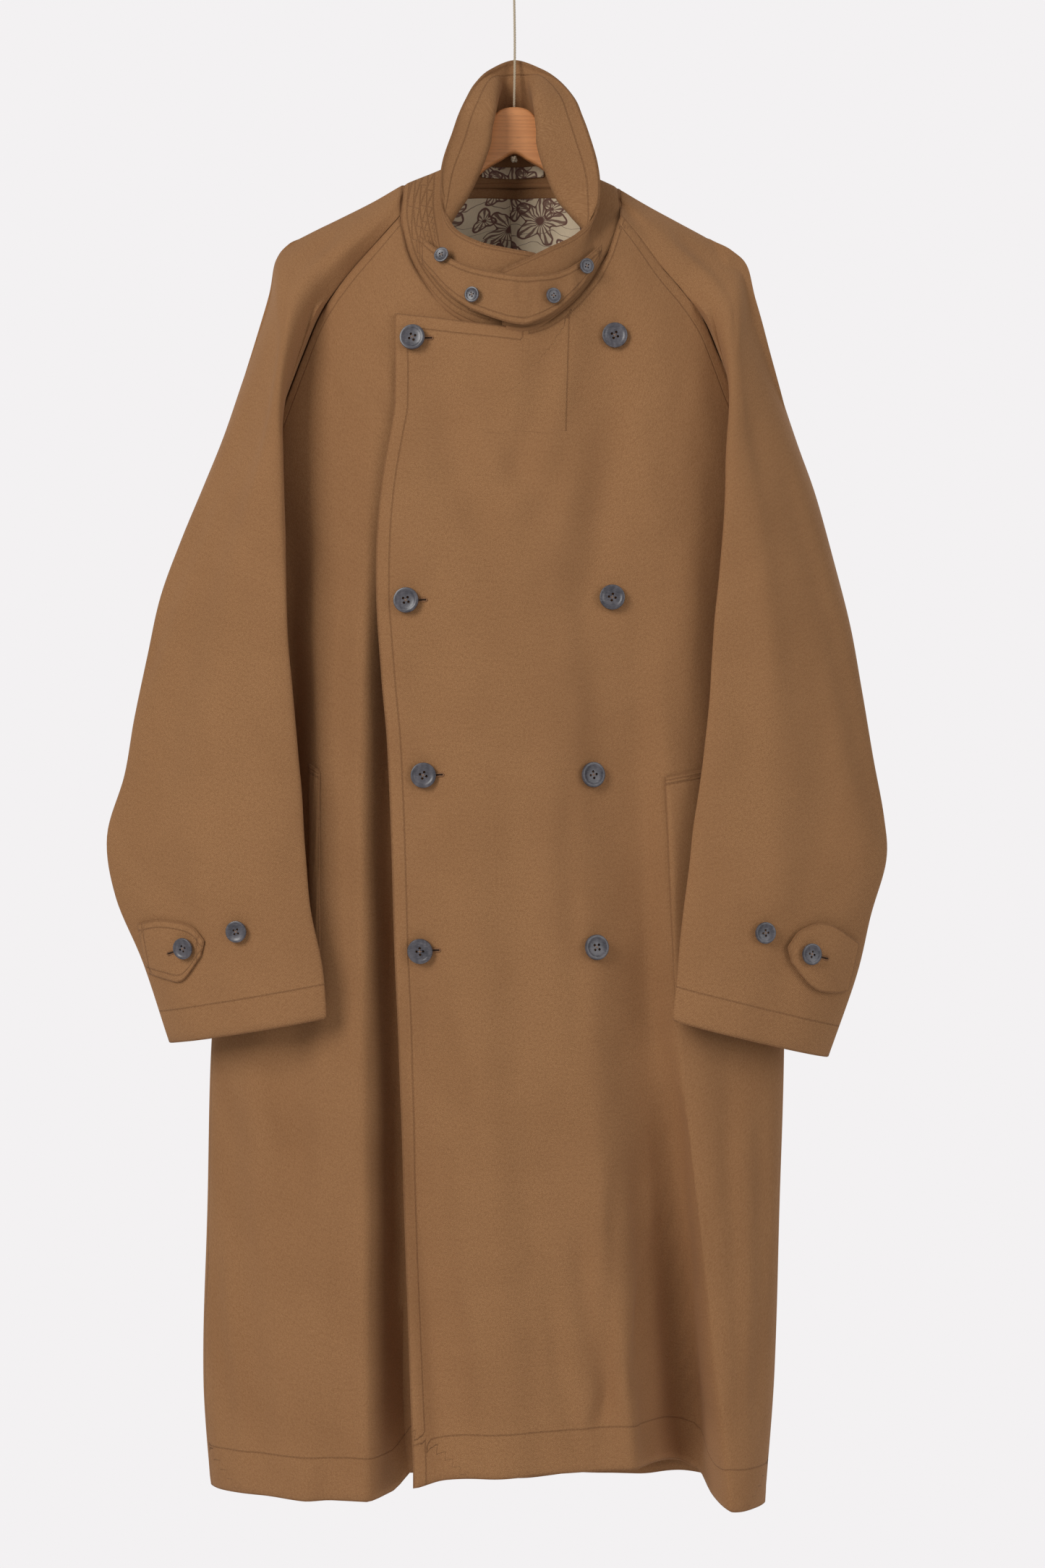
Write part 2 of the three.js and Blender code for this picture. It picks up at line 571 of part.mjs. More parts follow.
const under = add("front_right", wall(underGrid, underN, CLOTH), COLOURS.wool);
add("back", wall(backPanel, backN, CLOTH), COLOURS.wool);
const sleeveMeshes = {};
for (const side of ["right", "left"]) {
  const sleeve = sleeves[side];
  trim(sleeve.front, SEAM_GAP, ["first", "last"]);
  trim(sleeve.back, SEAM_GAP, ["first", "last"]);
  sleeveMeshes[side] = add(`sleeve_${side}_front`, wall(sleeve.front, sleeve.frontN, CLOTH), COLOURS.wool);
  add(`sleeve_${side}_back`, wall(sleeve.back, sleeve.backN, CLOTH), COLOURS.wool);
}

// Collar
const COLLAR_STEPS = 7;
const collarGrid = steps(COLLAR_STEPS).map((v) => COLLAR.map((row) => (
  onCurve([vector(row.foot), vector(row.crease), vector(row.edge)], v * 2, false)
)));
add("collar", wall(collarGrid, gridNormals(collarGrid, -1), DOUBLE_CLOTH), COLOURS.collar);

// Throat latch
const LATCH_COLUMNS = 16;
const latchGrid = steps(3).map((v) => steps(LATCH_COLUMNS).map((u) => {
  const x = LATCH[0].x + (LATCH.at(-1).x - LATCH[0].x) * u;
  const top = read(LATCH, "x", "top", x);
  const foot = read(LATCH, "x", "foot", x);
  return new THREE.Vector3(x, read(LATCH, "x", "y", x), top + (foot - top) * v);
}));
const latch = add("throat_latch", wall(latchGrid, gridNormals(latchGrid, -1), DOUBLE_CLOTH / 2), COLOURS.collar);

// What lies on a panel is found by looking straight at the panel from the front
const FAR_IN_FRONT = -400;
const ray = new THREE.Raycaster();
function onCloth(meshes, x, z) {
  ray.set(new THREE.Vector3(x, FAR_IN_FRONT, z), new THREE.Vector3(0, 1, 0));
  const hit = ray.intersectObjects(meshes, false)[0];
  if (!hit) throw new Error(`no cloth at ${x}, ${z}`);
  const outward = hit.face.normal.clone();
  if (outward.y > 0) outward.negate();
  return { point: hit.point, outward };
}

// Patch of cloth laid on panels, between an upper and a lower line of [x, z] points
function patch(name, meshes, upper, lower, columns, rows, lift) {
  const flat = (points) => points.map(([x, z]) => new THREE.Vector3(x, 0, z));
  const high = flat(upper);
  const low = flat(lower);
  const grid = steps(rows).map((v) => steps(columns).map((u) => {
    const a = onCurve(high, u * (high.length - 1), false);
    const b = onCurve(low, u * (low.length - 1), false);
    const spot = a.lerp(b, v);
    return onCloth(meshes, spot.x, spot.z).point.setX(spot.x).setZ(spot.z).add(new THREE.Vector3(0, -lift, 0));
  }));
  return add(name, wall(grid, gridNormals(grid, -1), CLOTH), COLOURS.wool);
}
const STRAP_LIFT = CLOTH + 1.7;
const strapRight = patch("cuff_strap_right", [sleeveMeshes.right],
  [[-333, -912], [-317, -905], [-293, -908.6], [-280, -921]],
  [[-326, -956], [-314, -957.5], [-301, -957.4], [-283, -935]], 12, 8, STRAP_LIFT);
const strapLeft = patch("cuff_strap_left", [sleeveMeshes.left],
  [[313, -925], [282, -906.7], [258, -912], [246, -926]],
  [[303, -968], [285, -968], [268, -961.9], [249, -940]], 12, 8, STRAP_LIFT);
const WELT_LIFT = CLOTH + 1.5;
patch("pocket_welt_left", [lap],
  [[136, -774], [150, -771.5]], [[145.7, -993], [156, -995]], 2, 12, WELT_LIFT);
patch("pocket_welt_right", [under],
  [[-187, -762], [-177, -768]], [[-187, -984], [-176, -990]], 3, 20, WELT_LIFT);

// Buttons: a round dished face over a thread shank
const SHANK = { radius: 2, height: 2.4 };
const DISC = { thick: 0.15, rimInside: 0.74, dishEdge: 0.66, dishThick: 0.7, sides: 12 };
function buttonProfile(width) {
  const radius = width / 2;
  const face = SHANK.height + width * DISC.thick;
  const dish = SHANK.height + width * DISC.thick * DISC.dishThick;
  return [
    [0, 0], [SHANK.radius, 0], [SHANK.radius, SHANK.height], [radius, SHANK.height], [radius, face],
    [radius * DISC.rimInside, face], [radius * DISC.dishEdge, dish], [0, dish],
  ].map(([r, h]) => new THREE.Vector2(r, h));
}

const BUTTON_GAP = 0.35;
function button(name, width, meshes, x, z) {
  const { point, outward } = onCloth(meshes, x, z);
  const geometry = new THREE.LatheGeometry(buttonProfile(width), DISC.sides);
  const mesh = add(name, geometry, COLOURS.button, 0.5);
  mesh.position.copy(point).addScaledVector(outward, BUTTON_GAP);
  mesh.quaternion.setFromUnitVectors(new THREE.Vector3(0, 1, 0), outward);
}
MAIN_BUTTONS.forEach(({ name, x, z }) => button(name, BUTTON.main, [lap], x, z));
LATCH_BUTTONS.forEach(({ name, x, z }) => button(name, BUTTON.latch, [latch], x, z));
button("cuff_button_right_strap", BUTTON.cuff, [strapRight], -297, -928);
button("cuff_button_right_spare", BUTTON.cuff, [sleeveMeshes.right], -247.8, -912);
button("cuff_button_left_strap", BUTTON.cuff, [strapLeft], 266.4, -933);
button("cuff_button_left_spare", BUTTON.cuff, [sleeveMeshes.left], 224.3, -913.3);

// Lining behind the back, under the wool facing of the neck
const LINING_GAP = 0.8;
const FACING_ROWS = [0.12, 0.5];
const MIDDLE_COLUMN = 10;
function insideBack(row, column) {
  const j = Math.min(Math.floor(row), backPanel.length - 2);
  const place = (k) => backPanel[k][column].clone().addScaledVector(backN[k][column], -CLOTH - LINING_GAP);
  return place(j).lerp(place(j + 1), row - j);
}
function liningPiece(name, rows, columns, colour) {
  const grid = rows.map((row) => columns.map((column) => insideBack(row, column)));
  trim(grid, SEAM_GAP, ["first", "last"]);
  add(name, wall(grid, gridNormals(grid, 1), LINING), colour);
}
const run = (from, to) => Array.from({ length: to - from + 1 }, (_, i) => from + i);
const LINING_ROWS = [0.52, ...run(1, 24)];
liningPiece("neck_facing", FACING_ROWS, run(4, 16), COLOURS.collar);
liningPiece("lining_right", LINING_ROWS, run(4, MIDDLE_COLUMN), COLOURS.lining);
liningPiece("lining_left", LINING_ROWS, run(MIDDLE_COLUMN, 16), COLOURS.lining);

// Hanger: a shaped board, thicker in the middle, whose arms lie just under the shoulder seams
const HANGER = { thick: 11, bevel: 3.8, under: 10.5, tipDrop: 22, reach: 0.97, footReach: 0.985, armRows: 5 };
const HANGER_MIDDLE = [
  { x: 0, top: -153.4, foot: -196.3 },
  { x: 13, top: -156, foot: -203 },
  { x: 22, top: -166, foot: -208 },
  { x: 29, top: -183, foot: -213 },
  { x: 42, top: -203, foot: -225 },
  { x: 60, top: -219.5, foot: -239 },
  { x: 80, top: -234, foot: -253 },
];
function hangerArm(rows, sign) {
  const middle = HANGER_MIDDLE.map(({ x, top, foot }) => ({ x: sign * x, top, foot }));
  const arm = rows.slice(0, HANGER.armRows).map(({ top: [x, z] }) => (
    { x: x * HANGER.reach, top: z - HANGER.under, foot: z - HANGER.under - HANGER.tipDrop }
  ));
  return [...middle, ...arm];
}
const armLeft = hangerArm(SLEEVE_LEFT, 1);
const armRight = hangerArm(SLEEVE_RIGHT, -1).slice(1).reverse();
const hangerLine = [...armRight, ...armLeft];
const inset = HANGER.bevel;
const board = new THREE.Shape([
  ...hangerLine.map(({ x, top }) => new THREE.Vector2(x, top - inset)),
  ...[...hangerLine].reverse().map(({ x, foot }) => new THREE.Vector2(x * HANGER.footReach, foot + inset)),
]);
const boardGeometry = new THREE.ExtrudeGeometry(board, {
  depth: HANGER.thick - 2 * inset, bevelEnabled: true, bevelSize: inset, bevelThickness: inset, bevelSegments: 2,
});
boardGeometry.rotateX(Math.PI / 2);
boardGeometry.translate(0, HANGER.thick / 2 - inset, 0);
add("hanger", boardGeometry, COLOURS.wood, 0.45);

// Twine from the hanger up to its loop, and the two knots
const TWINE = { width: 2.5, loopRadius: 17, loopTall: 1.1, knot: 3.4, gap: 0.3, knotGap: 1.5, sway: 0.6 };
const loopHeight = 2 * (TWINE.loopRadius + TWINE.width / 2) * TWINE.loopTall;
const loopGeometry = new THREE.TorusGeometry(TWINE.loopRadius, TWINE.width / 2, 8, 20);
loopGeometry.scale(1, TWINE.loopTall, 1);
loopGeometry.rotateX(Math.PI / 2);
loopGeometry.translate(0, 0, -loopHeight / 2);
add("twine_loop", loopGeometry, COLOURS.twine);
function knot(name, z) {
  const geometry = new THREE.SphereGeometry(TWINE.knot, 10, 6);
  geometry.translate(0, 0, z);
  add(name, geometry, COLOURS.twine);
}
const upperKnotZ = -loopHeight - TWINE.gap - TWINE.knot;
knot("knot_upper", upperKnotZ);
knot("knot_lower", HANGER_MIDDLE[0].foot - TWINE.knotGap - TWINE.knot);
const strand = new THREE.CatmullRomCurve3([
  new THREE.Vector3(0, 0, HANGER_MIDDLE[0].top + TWINE.gap),
  new THREE.Vector3(TWINE.sway, 0, (HANGER_MIDDLE[0].top + upperKnotZ) / 2),
  new THREE.Vector3(0, 0, upperKnotZ - TWINE.knot - TWINE.gap),
]);
const section = new THREE.Shape(steps(8).slice(1).map((t) => (
  new THREE.Vector2(Math.cos(t * 2 * Math.PI), Math.sin(t * 2 * Math.PI)).multiplyScalar(TWINE.width / 2)
)));
add("twine", new THREE.ExtrudeGeometry(section, { steps: 16, extrudePath: strand }), COLOURS.twine);

export default coat;
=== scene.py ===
import math

import bmesh
import bpy
import numpy as np
from mathutils import Matrix, Vector
from mathutils.bvhtree import BVHTree


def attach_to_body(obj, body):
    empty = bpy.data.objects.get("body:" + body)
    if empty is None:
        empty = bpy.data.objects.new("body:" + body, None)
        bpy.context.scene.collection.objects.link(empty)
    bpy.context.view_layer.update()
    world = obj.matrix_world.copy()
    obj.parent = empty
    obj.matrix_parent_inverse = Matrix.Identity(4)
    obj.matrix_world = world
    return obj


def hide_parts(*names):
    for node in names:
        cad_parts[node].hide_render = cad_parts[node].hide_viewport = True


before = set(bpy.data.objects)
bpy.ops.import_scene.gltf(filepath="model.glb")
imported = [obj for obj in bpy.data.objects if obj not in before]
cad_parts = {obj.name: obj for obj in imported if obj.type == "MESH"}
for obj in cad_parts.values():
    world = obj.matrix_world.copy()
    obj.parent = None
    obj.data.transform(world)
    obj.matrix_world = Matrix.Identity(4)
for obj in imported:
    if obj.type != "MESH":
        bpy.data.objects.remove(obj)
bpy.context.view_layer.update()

# Millimetres throughout, turned into metres as each mesh is made. -Y is the coat's front.
MM = 0.001
CLOTH = 2.2
DOUBLE_CLOTH = 4.0
FRONT_DEPTH = 85.0
BACK_DEPTH = 48.0
HEM_Z = -1427.0
LAP_STEP = 3.4
BEHIND_LAP = 6
LAP_REACH = -140
ARMPIT_ROW = 10
LAST_ROW = 19
SIDE_ROWS = 15
LAST_BODY_ROW = ARMPIT_ROW + SIDE_ROWS
STITCH_IN = 12.0
HEM_TURN = 38.0
CUFF_TURN = 30.0
CROWDING = 0.35
NO_STITCH = 90.0

# Half-width of the body at the side seams: z, wearer's right, wearer's left
BODY_WIDTH = np.array([
    (-226, 292, 288), (-400, 262, 262), (-528, 245, 245), (-640, 252, 246), (-750, 262, 248),
    (-900, 272, 250), (-1031, 281, 250), (-1164, 284, 246), (-1325, 288, 241), (-1432, 281, 233),
], float)

# Top of the cloth along the shoulders: distance from the middle, z
SHOULDER = np.array([(0, -173), (60, -200), (104, -225), (152, -253), (200, -284), (300, -330)], float)

# Collar seam across the fronts and across the back: x, z
NECKLINE = np.array([
    (-105, -258), (-98, -289), (-86, -314), (-63, -343), (-43, -357.5), (-18, -367.5), (8, -371),
    (37, -360), (67, -331), (85, -301), (98.5, -259),
], float)
BACK_NECK = np.array([
    (-105, -252), (-85, -232), (-45, -222), (0, -221), (45, -222), (80, -232), (98.5, -252),
], float)

# The under front's two hidden edges with the step between them, its drop from the neck seam, and how
# far and from where its hidden hem rises
UNDER = {
    "edge": 62, "top_edge": 92, "step_z": -380, "step_over": 40, "neck_drop": 6,
    "hem_rise": 34, "rise_from_x": -125, "rise_over": 30,
}

# Free front edge of the lap: z, x. Hem of the lap: x, z.
FRONT_EDGE = np.array([
    (-355, -107.5), (-440, -120), (-531, -124), (-628, -119), (-693, -114), (-790, -110),
    (-985, -105), (-1139, -100), (-1263, -95.6), (-1425, -90),
], float)
LAP_HEM = np.array([
    (-92, -1413), (-60, -1404), (0, -1400), (120, -1397), (160, -1408), (183, -1436), (233, -1443),
], float)

# Hanging folds: x and z where it starts, x and z midway, width to the middle, width to the side,
# depth midway, x at the hem, depth at the hem
LAP_FOLDS = [
    (96, -420, 124, -1050, 58, 30, 26, 168, 74),
    (205, -440, 200, -1000, 40, 60, 10, 214, -14),
    (-40, -520, -30, -1000, 40, 60, -3, -10, -12),
]
UNDER_FOLDS = [
    (-100, -400, -108, -760, 40, 34, 34, -100, 58),
    (-208, -440, -204, -760, 26, 40, 20, -190, -10),
]
BACK_FOLDS = [
    (-150, -620, -165, -1050, 45, 45, 12, -175, 30),
    (0, -560, 0, -1050, 60, 60, -8, 4, -26),
    (140, -620, 150, -1050, 45, 45, 12, 160, 28),
]

# Sleeve rows from neck to cuff: top or outer edge, crest where the front turns back, seam, how far
# the front stands forward. Points are x, z, y. Above the armpit a seam's depth is the body's.
SLEEVE_RIGHT = [
    ((-104, -225, 0), (-105, -246, -19), (-105, -258), (-105, -252), 3),
    ((-131, -241, 0), (-126, -268, -32), (-124, -281), (-119, -274), 5),
    ((-161, -256.5, 0), (-151, -292, -44), (-147, -308), (-137, -304), 8),
    ((-188, -270, 0), (-172, -314, -49), (-165, -332), (-154, -334), 12),
    ((-208, -282, -2), (-187, -340, -60), (-179, -356), (-168, -362), 17),
    ((-219.5, -297, -8), (-199, -380, -78), (-192, -388), (-182, -392), 22),
    ((-224, -330, -16), (-206, -420, -85), (-203, -416), (-196, -423), 25),
    ((-236, -372, -25), (-208, -455, -87), (-215, -446), (-211, -453), 27),
    ((-251, -416, -25), (-207, -482, -88), (-227, -474), (-225, -481), 28),
    ((-267, -462, -25), (-206, -512, -88), (-237, -502), (-236, -506), 29),
    ((-285, -506, -25), (-205.5, -545, -89), (-246, -528, 0), None, 30),
    ((-306, -556, -25), (-203.5, -590, -90), (-257, -580, -20), None, 30),
    ((-325, -608, -25), (-202, -640, -90), (-247, -640, -42), None, 30),
    ((-337, -662, -25), (-199, -690, -90), (-232, -695, -56), None, 30),
    ((-349, -720, -25), (-196, -745, -90), (-220, -750, -64), None, 30),
    ((-358, -772, -25), (-192.5, -792, -90), (-210, -798, -68), None, 30),
    ((-374, -828, -25), (-190, -842, -90), (-205, -846, -70), None, 30),
    ((-366, -884, -25), (-186, -892, -89), (-199, -895, -72), None, 28),
    ((-341, -944, -25), (-175, -944, -88), (-190, -947, -74), None, 26),
    ((-317, -1017, -25), (-170, -990, -87), (-185, -993, -74), None, 24),
]
SLEEVE_LEFT = [
    ((98, -229, 0), (99, -248, -19), (98.5, -259), (98.5, -252), 3),
    ((123, -244, 0), (117, -269, -31), (115, -281), (110, -269), 5),
    ((150, -259, 0), (140, -297, -44), (136, -311), (132, -304), 8),
    ((178, -274.5, 0), (164, -320, -49), (157, -336), (150, -334), 12),
    ((200, -288.5, -2), (181, -348, -60), (174, -361), (166, -362), 17),
    ((214, -303, -8), (190, -386, -76), (187, -392), (180, -392), 21),
    ((221, -335, -16), (193, -427, -82), (198, -420), (194, -423), 23),
    ((233, -380, -25), (191.5, -465, -84), (212, -449), (209, -453), 25),
    ((246, -425, -25), (190, -495, -85), (226, -476), (224, -481), 26),
    ((260, -467, -25), (188.5, -520, -86), (237, -503), (236, -506), 27),
    ((277, -515, -25), (186, -555, -87), (246, -528, 0), None, 28),
    ((294, -577, -25), (182, -610, -88), (257, -585, -22), None, 28),
    ((309, -635, -25), (178, -660, -88), (246, -645, -44), None, 28),
    ((320, -695, -25), (174.5, -710, -89), (228, -705, -58), None, 28),
    ((330, -755, -25), (169, -765, -89), (208, -765, -68), None, 28),
    ((340, -810, -25), (162, -815, -89), (193, -815, -73), None, 28),
    ((342, -850, -25), (158, -862, -89), (183, -862, -75), None, 28),
    ((328, -900, -25), (153.5, -905, -89), (175, -905, -76), None, 27),
    ((315, -955, -25), (149, -948, -89), (169, -950, -76), None, 25),
    ((289, -1030, -25), (144, -992, -88), (164, -994, -76), None, 23),
]
BACK_PUFF = 26.0
SLEEVE_ROOM = 15.0

# Collar rows, round from the under end at the front to the over end: foot, crease, free edge
COLLAR = [
    ((22, -366, -68), (22, -335, -73), (21.7, -303.7, -77)),
    ((-15, -369, -73), (-12, -332, -78), (-12, -298, -80)),
    ((-45, -359.5, -72), (-38, -325, -77), (-35, -292, -79)),
    ((-65.7, -344, -67), (-56, -312, -70), (-55, -279, -68)),
    ((-86.9, -315.7, -54), (-67, -288, -55.5), (-65, -260, -53)),
    ((-97.8, -289.6, -42), (-57, -262, -45), (-68, -238, -45)),
    ((-103.8, -257.8, -24), (-43, -238, -36), (-65, -213, -38)),
    ((-102, -224.5, 0), (-28, -200, -29), (-55.5, -185, -29)),
    ((-101.5, -246, 17), (-25, -181, -25), (-50, -168, -24)),
    ((-84.2, -230, 17), (-21, -162, -19), (-43.5, -152.5, -17)),
    ((-66, -224.6, 21.3), (-17.5, -142, -2), (-35.5, -134.5, -6)),
    ((-42.5, -220.4, 22.8), (-13.5, -134, 12), (-24, -119.5, 2)),
    ((0, -219, 26), (0, -125, 14), (0, -108.5, 12)),
    ((42.5, -220.4, 23), (13.5, -134, 12), (25, -118, 2)),
    ((65, -224.4, 21.8), (19, -140, -2), (40.5, -131.5, -6)),
    ((79.8, -228.9, 19), (21.5, -157, -20), (54.3, -151.5, -17)),
    ((95, -246, 18.5), (24.5, -180, -25), (61, -168, -24)),
    ((96, -227.5, 0), (26, -200, -29), (67, -185, -29)),
    ((97.8, -257, -25), (40, -240, -36), (75.5, -214.5, -38)),
    ((95.3, -274.5, -39.6), (53, -259, -46), (78, -239, -47)),
    ((85.4, -298, -53), (68, -281, -56), (75, -264.5, -57)),
    ((67, -329.5, -66.5), (61, -309, -69), (57, -285, -70)),
    ((37, -358.5, -78), (40, -327, -81), (33, -299, -83)),
    ((12, -369, -82.6), (12, -340, -86), (12, -310, -88)),
    ((-9, -368.2, -83), (-9.5, -345, -88), (-9.5, -319.7, -89.5)),
]

# Throat latch: x, y, top z, foot z
LATCH = np.array([
    (-86, -57, -283, -306), (-73, -66, -295, -322), (-58, -76, -307, -339), (-36, -84, -317, -354),
    (0, -93, -325, -367), (20, -92, -325, -365), (42, -87, -321, -352), (62, -78, -309, -331),
    (80, -64, -292, -302),
], float)

# Folds pressed into a sleeve's front: row and place where it starts, row and place where it ends,
# half-width in places, depth in mm. Places run 3 at the outer edge, 6 at the crest.
SLEEVE_CREASES = {
    "right": [
        (5.5, 4.9, 17.5, 3.75, 0.5, 9.0), (9.0, 5.5, 19.5, 4.9, 0.42, 5.0), (7.5, 4.2, 13.5, 3.3, 0.3, 4.0),
        (15.0, 4.3, 19.0, 4.4, 0.3, 4.0), (2.0, 4.6, 5.5, 5.0, 0.5, 4.0),
    ],
    "left": [
        (6.0, 4.9, 17.0, 4.2, 0.5, 6.5), (8.5, 5.6, 19.5, 5.0, 0.4, 4.5), (9.0, 4.2, 15.5, 3.4, 0.3, 3.0),
        (14.5, 4.5, 19.0, 4.6, 0.3, 3.5), (2.0, 4.6, 5.5, 5.0, 0.5, 3.5),
    ],
}

# Soft creases of the fronts: x and z at both ends, half-width, depth in mm
LAP_CREASES = [
    (140, -1030, 152, -1425, 26, 5.0), (132, -1030, 166, -1425, 9, 4.5), (-104, -960, -70, -1400, 9, 3.0),
    (92, -330, 66, -640, 26, 6.5), (66, -640, 78, -930, 24, 4.0), (-84, -940, -50, -1400, 26, 9.0),
    (-52, -1010, -8, -1400, 15, 2.6), (-96, -395, -52, -520, 20, 3.0), (-74, -380, -18, -560, 20, 4.2),
    (-36, -388, 12, -520, 15, 2.6), (42, -382, -8, -520, 17, 3.0), (66, -395, 22, -560, 17, 2.6),
    (-84, -650, -60, -900, 22, 3.4), (60, -1180, 92, -1390, 12, 3.2), (96, -1130, 76, -1400, 10, 2.6),
    (112, -1120, 128, -1400, 9, 3.4), (30, -1240, 60, -1392, 9, 1.8), (104, -1300, 60, -1372, 7, 1.6),
    (-12, -820, 6, -1060, 26, 1.8), (132, -1190, 110, -1330, 7, 2.2), (50, -760, 58, -1000, 14, 2.0),
    (196, -1060, 206, -1400, 10, 1.8), (226, -1080, 224, -1390, 9, 1.6), (120, -560, 150, -760, 22, 3.0),
]
UNDER_CREASES = [
    (-150, -420, -160, -700, 18, 4.0), (-160, -700, -150, -1000, 16, 3.0),
    (-262, -1040, -236, -1400, 15, 3.6), (-200, -1060, -196, -1410, 18, 2.6),
    (-232, -1030, -190, -1120, 14, 2.2), (-158, -1160, -150, -1410, 12, 3.0),
    (-276, -1200, -262, -1400, 9, 2.2),
]
BACK_CREASES = [
    (-60, -300, -70, -620, 40, 4.0), (70, -300, 76, -620, 40, 4.0), (-90, -700, -84, -1400, 26, 4.5),
    (86, -720, 84, -1400, 26, 4.5), (-190, -560, -214, -900, 22, 4.0), (190, -560, 208, -900, 22, 4.0),
    (30, -900, 36, -1400, 18, 3.0), (-34, -980, -30, -1400, 16, 2.6), (-130, -420, -60, -520, 18, 2.4),
    (128, -420, 60, -520, 18, 2.4),
]


# Curves and grids
def read(rows, column, at):
    """Smooth value of a table's column where its first column is `at`."""
    order = np.argsort(rows[:, 0])
    keys = rows[order, 0]
    values = rows[order, column]
    slopes = np.empty(len(keys))
    slopes[1:-1] = (values[2:] - values[:-2]) / (keys[2:] - keys[:-2])
    slopes[0] = (values[1] - values[0]) / (keys[1] - keys[0])
    slopes[-1] = (values[-1] - values[-2]) / (keys[-1] - keys[-2])
    at = np.clip(np.asarray(at, float), keys[0], keys[-1])
    i = np.clip(np.searchsorted(keys, at, side="right") - 1, 0, len(keys) - 2)
    span = keys[i + 1] - keys[i]
    t = (at - keys[i]) / span
    return (
        (2 * t**3 - 3 * t**2 + 1) * values[i] + (t**3 - 2 * t**2 + t) * span * slopes[i]
        + (3 * t**2 - 2 * t**3) * values[i + 1] + (t**3 - t**2) * span * slopes[i + 1]
    )


def blend_four(full, i, t):
    """Smooth curve between the second and third of four neighbours."""
    a, b, c, d = full[i], full[i + 1], full[i + 2], full[i + 3]
    return 0.5 * (
        2 * b + (c - a) * t + (2 * a - 5 * b + 4 * c - d) * t**2 + (3 * b - a - 3 * c + d) * t**3
    )


def on_curve(points, at):
    """Points at places `at` on a smooth curve through points, an array of shape (count, ..., 3)."""
    points = np.asarray(points, float)
    at = np.asarray(at, float)
    before, after = 2 * points[0] - points[1], 2 * points[-1] - points[-2]
    full = np.concatenate([before[None], points, after[None]])
    i = np.minimum(np.floor(at).astype(int), len(points) - 2)
    return blend_four(full, i, (at - i).reshape((-1,) + (1,) * (full.ndim - 1)))


def ease(t):
    s = np.clip(t, 0.0, 1.0)
    return s * s * (3 - 2 * s)


def spread(count):
    """Places from 0 to 1 that crowd a little towards both ends, where seams roll."""
    t = np.linspace(0, 1, count)
    return t - CROWDING * np.sin(2 * math.pi * t) / (2 * math.pi)


def grid_normals(grid, sign):
    across = np.gradient(grid, axis=1)
    down = np.gradient(grid, axis=0)
    normal = np.cross(across, down)
    length = np.linalg.norm(normal, axis=2, keepdims=True)
    return sign * normal / np.maximum(length, 1e-9)


NOISE = {"waves": 14, "short": 1.3, "long": 3.2, "scale": 5.0}


def smooth_noise(x, y, cell, seed):
    """Even, soft noise from -1 to 1 over a plane, with bumps about `cell` mm wide."""
    local = np.random.default_rng(seed)
    total = np.zeros(np.shape(x))
    for _ in range(NOISE["waves"]):
        angle = local.uniform(0, math.pi)
        length = cell * local.uniform(NOISE["short"], NOISE["long"])
        phase = local.uniform(0, 2 * math.pi)
        total += np.sin((x * math.cos(angle) + y * math.sin(angle)) * 2 * math.pi / length + phase)
    return total / NOISE["scale"]


WANDER = {"share": 0.22, "along": 5.1, "step": 1.7}
CREASE_END, CREASE_FADE = 0.12, 0.3


def crease_depth(creases, x, z):
    """Depth of soft creases that fade in and out along their lines and wander a little."""
    total = np.zeros(np.shape(x))
    for k, (x0, z0, x1, z1, width, depth) in enumerate(creases):
        dx, dz = x1 - x0, z1 - z0
        length = math.hypot(dx, dz)
        along = ((x - x0) * dx + (z - z0) * dz) / length**2
        side = ((x - x0) * dz - (z - z0) * dx) / length
        side = side + WANDER["share"] * width * np.sin(along * WANDER["along"] + k * WANDER["step"])
        fade = ease((along + CREASE_END) / CREASE_FADE) * ease((1 + CREASE_END - along) / CREASE_FADE)
        total += depth * fade * np.exp(-((side / width) ** 2))
    return total


# Body surfaces, as in the CAD model
def fold_depth(folds, x, z):
    total = np.zeros(np.shape(x))
    for x0, z0, x1, z1, to_middle, to_side, depth, x2, depth2 in folds:
        upper = np.clip((z0 - z) / (z0 - z1), 0, 1)
        lower = np.clip((z1 - z) / (z1 - HEM_Z), 0, 1)
        middle = x0 + (x1 - x0) * upper + (x2 - x1) * lower
        deep = depth * ease(upper) + (depth2 - depth) * lower
        outward = (x - middle) * np.where(middle == 0, 1, np.sign(middle)) > 0
        width = np.where(outward, to_side, to_middle)
        total += deep * ease(np.maximum(1 - np.abs(x - middle) / width, 0))
    return total


def body_edge(x, z):
    width = np.where(x < 0, read(BODY_WIDTH, 1, z), read(BODY_WIDTH, 2, z))
    return np.sqrt(np.maximum(1 - (x / width) ** 2, 0))


def shoulder_drop(x, z):
    return np.maximum(read(SHOULDER, 1, np.abs(x)) - z, 0)


FRONT_ROUND, BACK_ROUND = 75, 60
FOLDS_FULL = 1.6


def front_y(x, z, folds, lift):
    edge = body_edge(x, z)
    depth = FRONT_DEPTH * (1 - np.exp(-shoulder_drop(x, z) / FRONT_ROUND))
    return -(depth + lift) * edge + fold_depth(folds, x, z) * np.minimum(edge * FOLDS_FULL, 1)


def back_y(x, z):
    edge = body_edge(x, z)
    depth = BACK_DEPTH * (1 - np.exp(-shoulder_drop(x, z) / BACK_ROUND))
    return depth * edge + fold_depth(BACK_FOLDS, x, z) * edge


def lap_y(x, z):
    return front_y(x, z, LAP_FOLDS, LAP_STEP)


def under_seam_y(x, z):
    return front_y(x, z, UNDER_FOLDS, -LAP_STEP)


